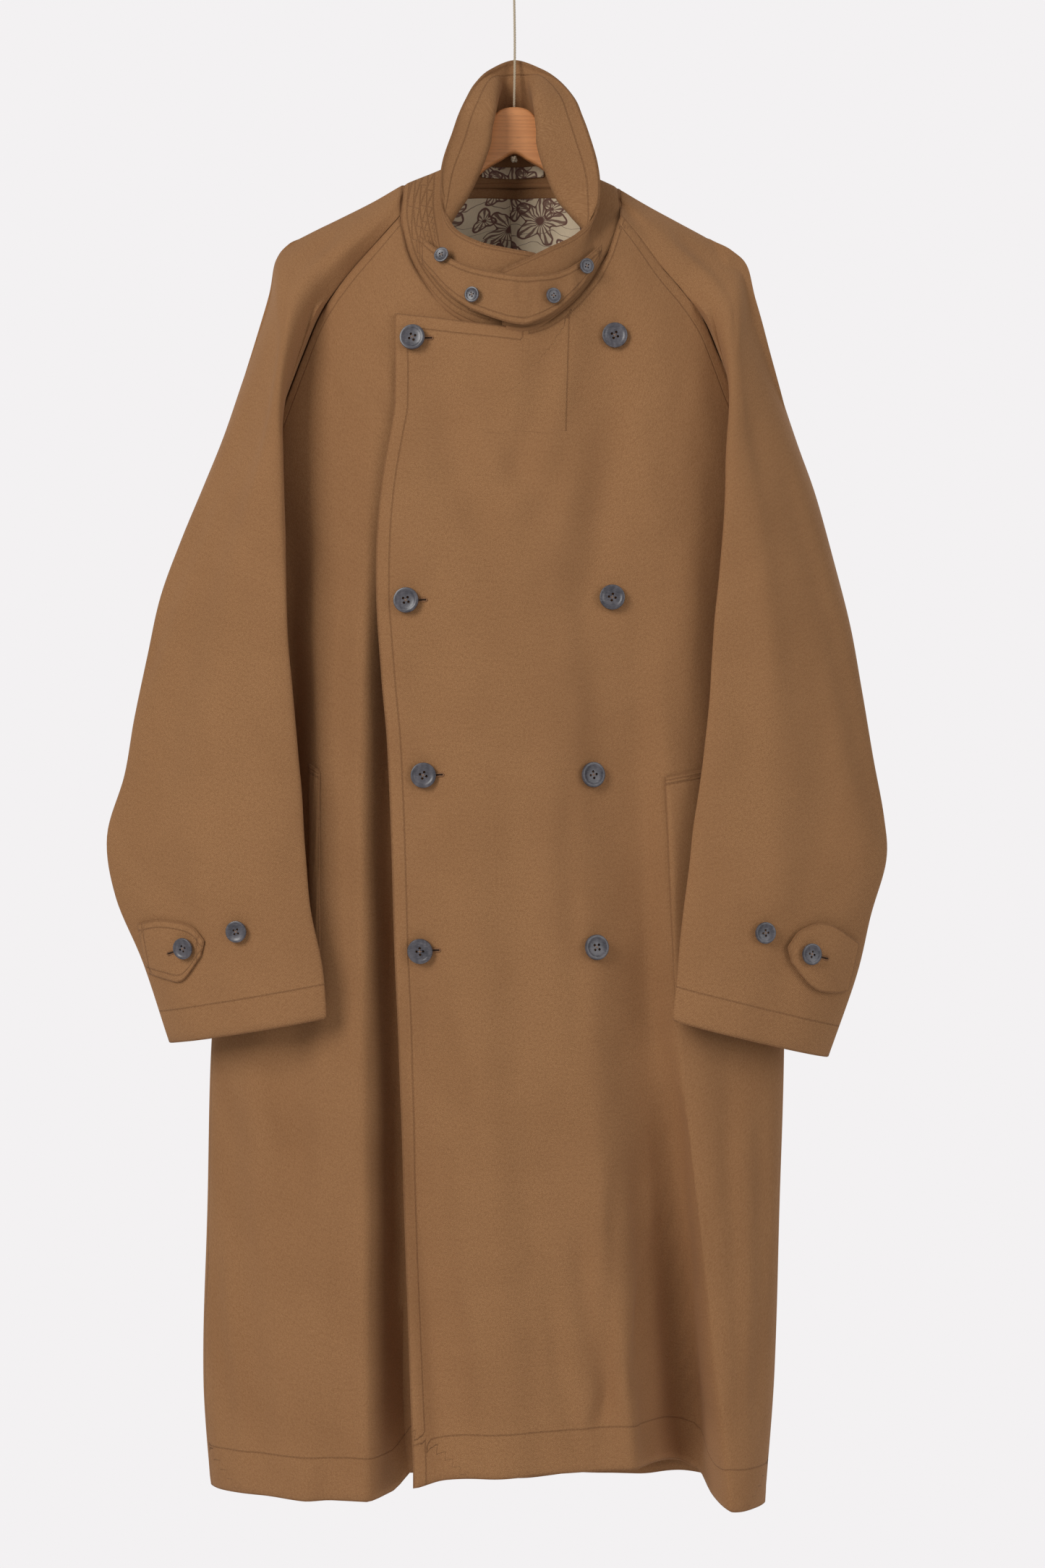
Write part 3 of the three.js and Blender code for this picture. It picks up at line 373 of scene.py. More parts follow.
def under_y(x, z):
    """The under front, which lies behind the lap wherever the lap can reach."""
    own = under_seam_y(x, z)
    return np.where(x < LAP_REACH, own, np.maximum(own, lap_y(x, z) + BEHIND_LAP))


SIDE_SURFACE = {"right": {"seam": under_seam_y, "back": back_y}, "left": {"seam": lap_y, "back": back_y}}
SLEEVES = {"right": SLEEVE_RIGHT, "left": SLEEVE_LEFT}


def seam_points(side, which):
    """The points of an armhole seam, and below it the underarm seam, one a sleeve row."""
    rows = []
    for row in SLEEVES[side]:
        spot = row[3] if which == "back" and row[3] else row[2]
        x, z = spot[0], spot[1]
        y = spot[2] if len(spot) == 3 else float(SIDE_SURFACE[side][which](np.array(x), np.array(z)))
        rows.append((x, y, z))
    return np.array(rows)


def side_line(side, which, hem, at):
    """Armhole seam down to the armpit, then the side seam to the hem, at fractional rows."""
    sign, column = (-1, 1) if side == "right" else (1, 2)
    upper = seam_points(side, which)[: ARMPIT_ROW + 1]
    armpit = upper[-1, 2]
    line = on_curve(upper, np.minimum(at, ARMPIT_ROW))
    share = np.clip((at - ARMPIT_ROW) / SIDE_ROWS, 0, 1)
    z = armpit + (hem - armpit) * share
    below = at > ARMPIT_ROW
    x = sign * read(BODY_WIDTH, column, z)
    line[below] = np.stack([x, np.zeros_like(x), z], axis=1)[below]
    return line


LOOSE_TOP = {"x": 8, "z": -371, "fall": 0.142}
HEM_CORNER = -90
EDGE_TOP = -355


def lap_top(x):
    loose = LOOSE_TOP["z"] - LOOSE_TOP["fall"] * (x - LOOSE_TOP["x"])
    return np.where(x < LOOSE_TOP["x"], loose, read(NECKLINE, 1, x))


def lap_hem(across):
    return read(LAP_HEM, 1, HEM_CORNER + (float(read(BODY_WIDTH, 2, HEM_Z)) - HEM_CORNER) * across)


def under_hem(across):
    start = UNDER["edge"]
    x = start + (-float(read(BODY_WIDTH, 1, HEM_Z)) - start) * across
    return HEM_Z + UNDER["hem_rise"] * ease((x - UNDER["rise_from_x"]) / UNDER["rise_over"])


def front_grid(side, columns, edge_x, top_z, hem_z, surface):
    at = np.linspace(0, LAST_BODY_ROW, BODY_ROWS)
    line = side_line(side, "seam", float(hem_z(np.array(1.0))), at)
    top, bottom = line[0, 2], line[-1, 2]
    u = spread(columns)
    across = np.sin(u**0.9 * math.pi / 2)[None, :]
    share = ((top - line[:, 2]) / (top - bottom))[:, None]
    start = edge_x(line[:, 2])[:, None]
    top_x = start[0, 0] + (line[0, 0] - start[0, 0]) * across
    z_top = top_z(top_x)
    z_top[:, -1] = top
    z = z_top + (hem_z(across) - z_top) * share
    x = start + (line[:, 0][:, None] - start) * across
    y = surface(x, z)
    grid = np.stack([x, y, z], axis=2)
    grid[:, -1] = line
    return grid


def lap_edge(z):
    return read(FRONT_EDGE, 1, np.minimum(z, EDGE_TOP))


def under_edge(z):
    step = ease((z - UNDER["step_z"]) / UNDER["step_over"])
    return UNDER["top_edge"] - (UNDER["top_edge"] - UNDER["edge"]) * step


def under_top(x):
    return read(NECKLINE, 1, x) - UNDER["neck_drop"]


def back_grid():
    at = np.linspace(0, LAST_BODY_ROW, BODY_ROWS)
    right = side_line("right", "back", HEM_Z, at)
    left = side_line("left", "back", float(lap_hem(np.array(1.0))), at)
    u = np.linspace(0, 1, COLUMNS["back"])
    across = (0.5 - 0.5 * np.cos(u * math.pi))[None, :]
    share = ((right[0, 2] - right[:, 2]) / (right[0, 2] - HEM_Z))[:, None]
    x = right[:, :1] + (left[:, :1] - right[:, :1]) * across
    top_x = right[0, 0] + (left[0, 0] - right[0, 0]) * across
    z_top = read(BACK_NECK, 1, top_x)
    z = z_top + (HEM_Z - z_top) * share
    grid = np.stack([x, back_y(x, z), z], axis=2)
    grid[:, 0] = right
    grid[:, -1] = left
    return grid


# Sleeves, whose places run 0 to 3 over the back half and 3 to 7 over the front half
OUTER_EDGE, SEAM_PLACE = 3, 7
CUFF_PUFF = 29
CUFF_ROOM = 7


def sleeve_control(side):
    """Eight points round each sleeve row, from the back seam over the outer edge to the front seam."""
    loops = []
    seams = seam_points(side, "seam")
    backs = seam_points(side, "back")
    for j, (top, crest, _, _, puff) in enumerate(SLEEVES[side]):
        top = np.array([top[0], top[2], top[1]], float)
        crest = np.array([crest[0], crest[2], crest[1]], float)
        if j >= LAST_ROW - 1:
            puff = CUFF_PUFF
        slack = BACK_PUFF * min(j / ARMPIT_ROW, 1, (LAST_ROW - j) / 4 + 0.3)
        forward = np.array([0.0, -1.0, 0.0])
        seam, back = seams[j], backs[j]
        loops.append([
            back, back + (top - back) * 0.4 - forward * slack * 0.62,
            back + (top - back) * 0.76 - forward * slack, top,
            top + (crest - top) * 0.2 + forward * puff * 0.8, top + (crest - top) * 0.6 + forward * puff,
            crest, seam,
        ])
    return np.array(loops)


def sleeve_grid(side, first, last, columns):
    """A sleeve half between two places, kept in front of the body beside and below the armpit."""
    at = np.linspace(0, LAST_ROW, SLEEVE_ROWS)
    control = on_curve(sleeve_control(side), at)
    wrap = ease(at - (ARMPIT_ROW - 1))[:, None]
    open_start = 2 * control[:, 0] - control[:, 1]
    open_end = 2 * control[:, -1] - control[:, -2]
    start = control[:, -2] * wrap + open_start * (1 - wrap)
    end = control[:, 1] * wrap + open_end * (1 - wrap)
    full = np.concatenate([start[:, None], control, end[:, None]], axis=1).transpose(1, 0, 2)
    place = first + (last - first) * spread(columns)
    i = np.minimum(np.floor(place).astype(int), SEAM_PLACE - 1)
    grid = blend_four(full, i, (place - i)[:, None, None]).transpose(1, 0, 2)
    width = read(BODY_WIDTH, 1 if side == "right" else 2, grid[:, :, 2])
    body = SIDE_SURFACE[side]["seam"](grid[:, :, 0], grid[:, :, 2])
    room = (SLEEVE_ROOM - (SLEEVE_ROOM - CUFF_ROOM) * ease(at - ARMPIT_ROW - 2))[:, None]
    below = ease(at - ARMPIT_ROW)[:, None]
    near_seam = np.clip((SEAM_PLACE - place) * 5, 0, 1)[None, :]
    front_half = ease((place - OUTER_EDGE) * 4)[None, :]
    share = np.maximum(below, near_seam * front_half * ease(at - 3)[:, None])
    limit = body - room * np.maximum(share, 0.0)
    use = (np.abs(grid[:, :, 0]) < width) & (share > 0.01)
    grid[:, :, 1] = np.where(use, np.minimum(grid[:, :, 1], limit), grid[:, :, 1])
    return grid, at, place


def press_sleeve(side, grid, at, place, normals):
    total = np.zeros(grid.shape[:2])
    for r0, p0, r1, p1, width, depth in SLEEVE_CREASES[side]:
        along = (at - r0) / (r1 - r0)
        middle = (p0 + (p1 - p0) * along)[:, None]
        fade = (ease((along + 0.1) / 0.35) * ease((1.1 - along) / 0.25))[:, None]
        total += depth * fade * np.exp(-(((place[None, :] - middle) / width) ** 2))
    edge = ease((place - OUTER_EDGE) * 3) * ease((SEAM_PLACE - place) * 2)
    total *= edge[None, :]
    return grid - normals * total[:, :, None]


# Meshes
def arc(grid, axis):
    steps = np.linalg.norm(np.diff(grid, axis=axis), axis=2)
    total = np.cumsum(steps, axis=axis)
    pad = [(0, 0), (0, 0)]
    pad[axis] = (1, 0)
    return np.pad(total, pad)


def edge_distances(grid):
    """Distances over the cloth from the first and last columns and the first and last rows."""
    across, down = arc(grid, 1), arc(grid, 0)
    return across, across[:, -1:] - across, down, down[-1:] - down


def nearest_line(lines):
    """Distance to the nearest stitch line, and the way along that line, from (distance, along) pairs."""
    distance = np.full(lines[0][0].shape, NO_STITCH)
    along = np.zeros(distance.shape)
    for line_distance, line_along in lines:
        closer = np.abs(line_distance) < np.abs(distance)
        distance = np.where(closer, line_distance, distance)
        along = np.where(closer, line_along, along)
    return distance, along


def add_object(name, mesh):
    piece = bpy.data.objects.new(name, mesh)
    bpy.context.scene.collection.objects.link(piece)
    return piece


def smooth_object(name, points, faces, sharp=None):
    """An object shaded smooth, but sharp where its faces meet at more than an angle in degrees."""
    mesh = bpy.data.meshes.new(name)
    mesh.from_pydata(np.asarray(points, float).tolist(), [], faces)
    mesh.polygons.foreach_set("use_smooth", [True] * len(mesh.polygons))
    if sharp:
        mesh.set_sharp_from_angle(angle=math.radians(sharp))
    return add_object(name, mesh)


ROLL_REACH = 2.2
CLOTH_SHARP, HANGER_SHARP, BUTTON_SHARP = 58, 50, 40


def wall_mesh(name, grid, normals, thick, stitch=None, inner_stitch=None, roll=0.0, rim=0.0):
    """A closed cloth wall under a grid of outer points, with its weave's map and its stitch lines."""
    rows, columns = grid.shape[:2]
    left, right, top, bottom = edge_distances(grid)
    edge = np.minimum(np.minimum(left, right), np.minimum(top, bottom))
    grid = grid - normals * (roll * np.exp(-((edge / ROLL_REACH) ** 2)))[:, :, None]
    inner = grid - normals * thick
    layer = rows * columns
    at = np.arange(layer).reshape(rows, columns)
    ring = np.concatenate([at[0, :-1], at[:-1, -1], at[-1, :0:-1], at[:0:-1, 0]])
    flat = grid.reshape(-1, 3)
    flat_in = inner.reshape(-1, 3)
    inward = np.zeros_like(at)
    inward[0, :], inward[-1, :], inward[:, 0], inward[:, -1] = at[1, :], at[-2, :], at[:, 1], at[:, -2]
    inward = inward.reshape(-1)
    out = flat[ring] - flat[inward[ring]]
    out /= np.maximum(np.linalg.norm(out, axis=1, keepdims=True), 1e-9)
    middle = (flat[ring] + flat_in[ring]) / 2 + out * rim * thick
    points = np.concatenate([flat, flat_in, middle]) * MM
    a, b, c, d = at[:-1, :-1].ravel(), at[:-1, 1:].ravel(), at[1:, 1:].ravel(), at[1:, :-1].ravel()
    outer_faces = np.stack([a, b, c, d], 1)
    inner_faces = np.stack([a, d, c, b], 1) + layer
    step = np.arange(len(ring))
    after = (step + 1) % len(ring)
    mid = 2 * layer
    rim_a = np.stack([ring[after], ring[step], mid + step, mid + after], 1)
    rim_b = np.stack([mid + after, mid + step, ring[step] + layer, ring[after] + layer], 1)
    faces = np.concatenate([outer_faces, inner_faces, rim_a, rim_b])
    v = points[faces]
    sense = np.einsum("ij,ij->i", v[:, 0], np.cross(v[:, 1], v[:, 2])) + np.einsum(
        "ij,ij->i", v[:, 0], np.cross(v[:, 2], v[:, 3])
    )
    if sense.sum() < 0:
        faces = faces[:, ::-1]
    piece = smooth_object(name, points, faces.tolist(), CLOTH_SHARP)
    mesh = piece.data
    weave = np.stack([left, top], 2).reshape(-1, 2)
    weave = np.concatenate([weave, weave, weave[ring]]) * MM
    layer_uv = mesh.uv_layers.new(name="weave")
    loops = np.empty(len(mesh.loops), int)
    mesh.loops.foreach_get("vertex_index", loops)
    layer_uv.data.foreach_set("uv", weave[loops].ravel())
    distance, along = stitch if stitch else (np.full((rows, columns), NO_STITCH), np.zeros((rows, columns)))
    # marks hold the stitch distance, the way along the stitches and the distance to the cloth's edge, where
    # the wool paints seam shade; the rim gets distance 0, so it is painted in full shade
    marks = np.stack([distance, along, edge], 2).reshape(-1, 3)
    hidden = marks.copy()
    hidden[:, 0] = NO_STITCH
    rim_marks = hidden[ring]
    if inner_stitch:
        hidden[:, 0], hidden[:, 1] = inner_stitch[0].ravel(), inner_stitch[1].ravel()
    rim_marks[:, 2] = 0.0
    attribute = mesh.attributes.new("marks", "FLOAT_VECTOR", "POINT")
    attribute.data.foreach_set("vector", np.concatenate([marks, hidden, rim_marks]).ravel())
    return piece


def attach(piece, material):
    """Gives a piece its material and its body."""
    piece.data.materials.clear()
    piece.data.materials.append(material)
    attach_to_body(piece, "root")


def dress(piece, material, slot, *nodes):
    """Attaches a piece and hides the CAD nodes that it stands for; its slot is not used."""
    attach(piece, material)
    if nodes:
        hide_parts(*nodes)
    return piece


# Materials
class Graph:
    """A short way to write a material's nodes."""

    def __init__(self, name):
        self.material = bpy.data.materials.new(name)
        self.material.use_nodes = True
        self.tree = self.material.node_tree
        self.shader = self.tree.nodes["Principled BSDF"]

    def put(self, target, value):
        if isinstance(value, bpy.types.NodeSocket):
            self.tree.links.new(value, target)
        else:
            target.default_value = value

    def make(self, kind, inputs=(), **settings):
        """A node with its settings, and some of its inputs given by name or number."""
        made = self.tree.nodes.new(kind)
        for key, value in settings.items():
            setattr(made, key, value)
        for key, value in dict(inputs).items():
            self.put(made.inputs[key], value)
        return made.outputs

    def math(self, operation, *values):
        return self.make("ShaderNodeMath", enumerate(values), operation=operation)[0]

    def plus(self, a, b):
        return self.math("ADD", a, b)

    def minus(self, a, b):
        return self.math("SUBTRACT", a, b)

    def times(self, a, b):
        return self.math("MULTIPLY", a, b)

    def higher(self, a, b):
        return self.math("MAXIMUM", a, b)

    def vector(self, operation, *values):
        return self.make("ShaderNodeVectorMath", enumerate(values), operation=operation)

    def scaled(self, vector, *factors):
        return self.vector("MULTIPLY", vector, factors)[0]

    def split(self, vector):
        return self.make("ShaderNodeSeparateXYZ", {"Vector": vector})

    def mix(self, factor, a, b):
        return self.make("ShaderNodeMix", {0: factor, 6: a, 7: b}, data_type="RGBA")[2]

    def step(self, value, low, high, to_low=0.0, to_high=1.0):
        inputs = enumerate((value, low, high, to_low, to_high))
        return self.make("ShaderNodeMapRange", inputs, interpolation_type="SMOOTHSTEP")[0]

    def noise(self, vector, scale, detail=3.0, rough=0.5):
        inputs = {"Vector": vector, "Scale": scale, "Detail": detail, "Roughness": rough}
        return self.make("ShaderNodeTexNoise", inputs)["Fac"]

    def waves(self, vector, scale, distortion, detail, **settings):
        inputs = {"Vector": vector, "Scale": scale, "Distortion": distortion, "Detail": detail}
        return self.make("ShaderNodeTexWave", inputs, **settings)["Fac"]

    def bump(self, height, distance, strength, **normal):
        inputs = {"Strength": strength, "Distance": distance, "Height": height, **normal}
        return self.make("ShaderNodeBump", inputs)["Normal"]

    def place(self):
        """Where a point lies in its object."""
        return self.make("ShaderNodeTexCoord")["Object"]

    def on_weave(self):
        """Where a point lies on its cloth, in mm."""
        return self.scaled(self.make("ShaderNodeUVMap", uv_map="weave")[0], 1000, 1000, 1000)

    def finish(self, colour, roughness, **extra):
        for key, value in {"Base Color": colour, "Roughness": roughness, **extra}.items():
            self.put(self.shader.inputs[key.replace("_", " ")], value)
        return self.material


def linear(red, green, blue):
    """A colour seen as 0 to 255 values, as the linear colour that a shader takes."""
    def one(v):
        v /= 255
        return v / 12.92 if v <= 0.04045 else ((v + 0.055) / 1.055) ** 2.4
    return (one(red), one(green), one(blue), 1.0)


WOOL = (167, 121, 79)
WOOL_DEEP = (128, 87, 55)
WOOL_PALE = (190, 145, 104)
WOOL_SHADOW = (92, 60, 38)
WOOL_SHEEN = (214, 180, 150)
STITCHING = (126, 86, 56)
TWILL_PITCH = 1.5
STITCH_PITCH = 3.4


def wool_material(name, shade=1.0):
    """Twill with a nap, with painted shade in its stitch grooves and along its seams and edges, and thread
    drawn along the stitch lines.
    """
    g = Graph(name)

    def tone(colour):
        return linear(*(v * shade for v in colour))

    place = g.on_weave()
    warp, weft, _ = g.split(place)
    wobble = g.times(g.noise(place, 0.25, 2.0), 1.6)
    diagonal = g.plus(g.plus(warp, g.times(weft, 0.9)), wobble)
    twill = g.math("SINE", g.times(diagonal, 2 * math.pi / TWILL_PITCH))
    thread = g.math("SINE", g.times(weft, 2 * math.pi / (TWILL_PITCH * 0.8)))
    rib = g.step(twill, -1.0, 1.0)
    nap = g.noise(place, 1.1, 6.0, 0.68)
    fibres = g.noise(g.scaled(place, 2.6, 0.35, 1.0), 0.9, 4.0, 0.6)
    slub = g.noise(g.scaled(place, 0.05, 0.6, 1), 0.5)
    grain = g.noise(place, 0.42, 3.0, 0.6)
    cloud = g.noise(place, 0.012)
    across, along, edge = g.split(g.make("ShaderNodeAttribute", attribute_name="marks")["Vector"])
    distance = g.math("ABSOLUTE", across)
    groove = g.step(distance, 0.2, 1.1, 1.0, 0.0)
    dash = g.math("FRACT", g.math("DIVIDE", along, STITCH_PITCH))
    on_thread = g.times(g.step(distance, 0.3, 0.62, 1.0, 0.0), g.step(dash, 0.62, 0.74, 1.0, 0.0))
    deep, pale, shadow = tone(WOOL_DEEP), tone(WOOL_PALE), linear(*WOOL_SHADOW)
    colour = g.mix(g.step(nap, 0.3, 0.72), deep, pale)
    for share, tint in (
        (0.4, tone(WOOL)),
        (g.step(fibres, 0.42, 0.7, 0.0, 0.3), pale),
        (g.step(slub, 0.5, 0.72, 0.0, 0.08), deep),
        (g.step(grain, 0.42, 0.66, 0.0, 0.26), deep),
        (g.step(cloud, 0.35, 0.65, 0.0, 0.14), deep),
        (g.times(g.minus(1.0, rib), 0.17), deep),
        # painted shade: the stitch grooves and the last 1.6 mm of cloth at every edge, seam and rim are mixed
        # towards WOOL_SHADOW
        (g.times(groove, 0.2), shadow),
        (g.times(g.step(edge, 0.2, 1.6, 1.0, 0.0), 0.3), shadow),
        (g.times(on_thread, 0.5), tone(STITCHING)),
    ):
        colour = g.mix(share, colour, tint)
    weave = g.plus(g.times(rib, 0.55), g.times(nap, 0.9))
    weave = g.plus(g.plus(weave, g.times(thread, 0.12)), g.times(grain, 0.9))
    sewn = g.plus(g.minus(g.times(on_thread, 0.4), groove), g.times(g.noise(place, 0.11, 2.0), 0.5))
    normal = g.bump(sewn, 0.0007, 0.75, Normal=g.bump(weave, 0.00034, 0.5))
    return g.finish(
        colour, 0.92, Normal=normal, Sheen_Weight=0.22, Sheen_Roughness=0.45, Sheen_Tint=tone(WOOL_SHEEN),
        Specular_IOR_Level=0.16,
    )


def lining_material():
    """Linen printed with plain blossoms on thin stems."""
    g = Graph("printed_linen")
    place = g.on_weave()
    bend = g.make("ShaderNodeTexNoise", {"Vector": place, "Scale": 0.05})["Color"]
    swayed = g.vector("ADD", place, g.scaled(bend, 9, 9, 0))[0]

    def blossoms(scale, petals, size, shift):
        moved = g.vector("ADD", swayed, (shift, shift * 0.6, 0))[0]
        inputs = {"Vector": moved, "Scale": scale, "Randomness": 0.75}
        cells = g.make("ShaderNodeTexVoronoi", inputs, voronoi_dimensions="2D")
        local = g.vector("SUBTRACT", moved, g.scaled(cells["Position"], 1, 1, 0))[0]
        across, up, _ = g.split(local)
        turn = g.math("ARCTAN2", up, across)
        radius = g.vector("LENGTH", local)[1]
        rim = g.plus(size, g.times(g.math("COSINE", g.times(turn, petals)), size * 0.35))
        outline = g.step(g.math("ABSOLUTE", g.minus(radius, rim)), 0.6, 1.5, 1.0, 0.0)
        rays = g.step(g.math("SINE", g.times(turn, petals * 4)), -0.2, 0.5)
        veins = g.times(rays, g.step(g.minus(rim, radius), 0.0, 0.8))
        heart = g.step(radius, size * 0.16, size * 0.3, 1.0, 0.0)
        return g.higher(g.higher(outline, g.times(veins, 0.9)), heart)

    waves = g.waves(swayed, 0.012, 14.0, 2.0, wave_type="RINGS")
    stems = g.step(g.math("ABSOLUTE", g.minus(waves, 0.5)), 0.02, 0.07, 1.0, 0.0)
    printed = g.higher(blossoms(0.015, 5.0, 19.0, 11.0), blossoms(0.03, 3.0, 8.0, 37.0))
    printed = g.higher(printed, g.times(stems, 0.8))
    threads = g.noise(g.scaled(place, 1.4, 0.2, 1), 1.0, 4.0, 0.7)
    ground = g.mix(threads, linear(250, 232, 202), linear(220, 198, 164))
    colour = g.mix(g.times(printed, 0.9), ground, linear(98, 42, 40))
    return g.finish(colour, 0.85, Normal=g.bump(threads, 0.0003, 0.5), Sheen_Weight=0.1)


def button_material():
    g = Graph("grey_horn")
    place = g.place()
    swirl = g.noise(place, 90.0, 4.0, 0.6)
    streak = g.waves(place, 55.0, 9.0, 3.0)
    brushed = g.noise(g.scaled(place, 260, 260, 2600), 1.0, 4.0, 0.7)
    colour = g.mix(g.step(swirl, 0.3, 0.7), linear(60, 60, 68), linear(96, 93, 99))
    colour = g.mix(g.step(brushed, 0.45, 0.7, 0.0, 0.5), colour, linear(136, 131, 135))
    colour = g.mix(g.times(streak, 0.3), colour, linear(46, 43, 49))
    return g.finish(colour, 0.34, Normal=g.bump(swirl, 0.0001, 0.3), Coat_Weight=0.25, Coat_Roughness=0.25)


def wood_material():
    g = Graph("hanger_wood")
    place = g.place()
    rings = g.waves(g.scaled(place, 6, 60, 110), 0.7, 11.0, 3.0, bands_direction="Z")
    pores = g.noise(g.scaled(place, 120, 900, 1400), 1.0)
    colour = g.mix(g.times(rings, 0.45), linear(232, 158, 100), linear(198, 126, 76))
    colour = g.mix(g.step(pores, 0.55, 0.75, 0.0, 0.4), colour, linear(140, 86, 52))
    colour = g.mix(g.step(g.noise(place, 9.0, 2.0), 0.4, 0.7, 0.0, 0.3), colour, linear(238, 172, 116))
    return g.finish(colour, 0.42, Normal=g.bump(pores, 0.0002, 0.4), Coat_Weight=0.15, Coat_Roughness=0.3)


def fibre_material(name, deep, pale, stretch, grain, roughness, bump=None, **extra):
    """Two colours mixed by a fine noise, given by its stretch and its detail and roughness."""
    g = Graph(name)
    fibre = g.noise(g.scaled(g.place(), *stretch), 1.0, *grain)
    if bump:
        extra["Normal"] = g.bump(fibre, *bump)
    return g.finish(g.mix(fibre, linear(*deep), linear(*pale)), roughness, **extra)


wool = wool_material("wool_coat")
wool_collar = wool_material("wool_collar", 0.97)
lining_cloth = lining_material()
horn = button_material()
wood = wood_material()
SPUN = {"stretch": (1500, 1500, 1500), "grain": (2.0,), "roughness": 0.8, "bump": (0.0002, 0.6)}
NAPPED = (900, 900, 900)
thread = fibre_material("sewing_thread", (120, 92, 76), (176, 146, 124), **SPUN)
hole_thread = fibre_material("buttonhole_thread", (112, 74, 46), (158, 114, 78), **SPUN)
# Painted shade: the dark of a buttonhole's cut, laid on a thin tube along the slit
slit_shade = fibre_material("buttonhole_slit_shade", (34, 20, 12), (54, 34, 22), NAPPED, (3.0,), 0.95)
seam_wool = fibre_material("wool_seam", WOOL_DEEP, WOOL, NAPPED, (5.0, 0.65), 0.95, (0.0004, 0.6))
twine_fibre = fibre_material(
    "natural_twine", (168, 148, 120), (222, 208, 184), (1800, 1800, 500), (4.0, 0.7), 0.9, (0.0004, 0.7),
    Sheen_Weight=0.2,
)


# Camera, light and background
PHOTO = {"height": 2168, "mm_per_px": 0.67, "distance": 2700.0}
CENTRE = Vector((7.7, 0.0, -779.9)) * MM
SENSOR = 36.0
camera_data = bpy.data.cameras.new("camera")
camera = bpy.data.objects.new("camera", camera_data)
bpy.context.scene.collection.objects.link(camera)
camera.location = CENTRE + Vector((0, -PHOTO["distance"] * MM, 0))
camera.rotation_euler = (math.pi / 2, 0, 0)
camera_data.sensor_width = SENSOR
camera_data.lens = SENSOR * PHOTO["distance"] / (PHOTO["height"] * PHOTO["mm_per_px"])
bpy.context.scene.camera = camera


def area_light(name, place, target, size, power, colour=(1, 1, 1)):
    data = bpy.data.lights.new(name, "AREA")
    data.shape = "RECTANGLE"
    data.size, data.size_y = size
    data.energy = power
    data.color = colour
    lamp = bpy.data.objects.new(name, data)
    bpy.context.scene.collection.objects.link(lamp)
    lamp.location = place
    lamp.rotation_euler = (Vector(target) - Vector(place)).to_track_quat("-Z", "Y").to_euler()


area_light("key", (-2.1, -2.5, 0.75), (0, 0, -0.62), (1.3, 2.0), 64.0, (1.0, 0.985, 0.96))
area_light("fill", (2.4, -2.3, -0.1), (0, 0, -0.8), (1.8, 2.2), 23.0)
area_light("back_right", (1.9, 2.6, 0.3), (0, 0, -0.8), (1.6, 2.2), 46.0)
area_light("back_left", (-2.1, 2.4, -0.2), (0, 0, -0.8), (1.6, 2.2), 24.0)
STUDIO_GREY = linear(243, 241, 242)
AMBIENT = 0.3
world = bpy.data.worlds.new("studio")
bpy.context.scene.world = world
world.use_nodes = True
sky = world.node_tree
backdrop = sky.nodes["Background"]
backdrop.inputs[0].default_value = STUDIO_GREY
backdrop.inputs[1].default_value = 1.0
ambient = sky.nodes.new("ShaderNodeBackground")
ambient.inputs[0].default_value = (1, 1, 1, 1)
ambient.inputs[1].default_value = AMBIENT
choose = sky.nodes.new("ShaderNodeMixShader")
path = sky.nodes.new("ShaderNodeLightPath")
sky.links.new(path.outputs["Is Camera Ray"], choose.inputs[0])
sky.links.new(ambient.outputs[0], choose.inputs[1])
sky.links.new(backdrop.outputs[0], choose.inputs[2])
sky.links.new(choose.outputs[0], sky.nodes["World Output"].inputs[0])
bpy.context.scene.view_settings.view_transform = "Standard"
FLOOR_Z, FLOOR_HALF, FLOOR_GLOW = -2.05, 1.4, 0.08
floor_mesh = bpy.data.meshes.new("floor")
floor_mesh.from_pydata([
    (sx * FLOOR_HALF, sy * FLOOR_HALF, FLOOR_Z) for sx, sy in ((-1, -1), (1, -1), (1, 1), (-1, 1))
], [], [(0, 1, 2, 3)])
floor = add_object("floor", floor_mesh)
floor_look = Graph("pale_floor")
floor.data.materials.append(floor_look.finish(
    STUDIO_GREY, 0.9, Emission_Color=STUDIO_GREY, Emission_Strength=FLOOR_GLOW,
))


# Round pieces
TUBE_SIDES = 8


def ring_faces(count, sides, closed=False, start=0):
    """Faces between rings of points in a row, with a cap at each end if the row is open."""
    faces = []
    for i in range(count if closed else count - 1):
        ring, following = start + i * sides, start + (i + 1) % count * sides
        for k in range(sides):
            m = (k + 1) % sides
            faces.append([ring + k, ring + m, following + m, following + k])
    if not closed:
        faces.append([start + k for k in range(sides - 1, -1, -1)])
        faces.append([start + (count - 1) * sides + k for k in range(sides)])
    return faces


def cross_axes(route, closed, helper=None):
    """Two directions square to a route at each of its points."""
    tangent = np.roll(route, -1, 0) - np.roll(route, 1, 0) if closed else np.gradient(route, axis=0)
    tangent /= np.linalg.norm(tangent, axis=1, keepdims=True)
    if helper is None:
        helper = (0.0, 0.0, 1.0) if abs(tangent[:, 2]).max() < 0.9 else (0.31, 0.93, 0.2)
    first = np.cross(tangent, helper)
    first /= np.linalg.norm(first, axis=1, keepdims=True)
    return first, np.cross(tangent, first)


def rings_round(route, axes, radius, sides):
    first, second = axes
    around = (np.arange(sides) * 2 * math.pi / sides)[None, :, None]
    return route[:, None] + (first[:, None] * np.cos(around) + second[:, None] * np.sin(around)) * radius


def tube(name, route, radius, closed=False, unit=MM):
    """A round bar along a route of points in mm."""
    route = np.asarray(route, float)
    rings = rings_round(route, cross_axes(route, closed), radius, TUBE_SIDES)
    return smooth_object(name, rings.reshape(-1, 3) * unit, ring_faces(len(route), TUBE_SIDES, closed))


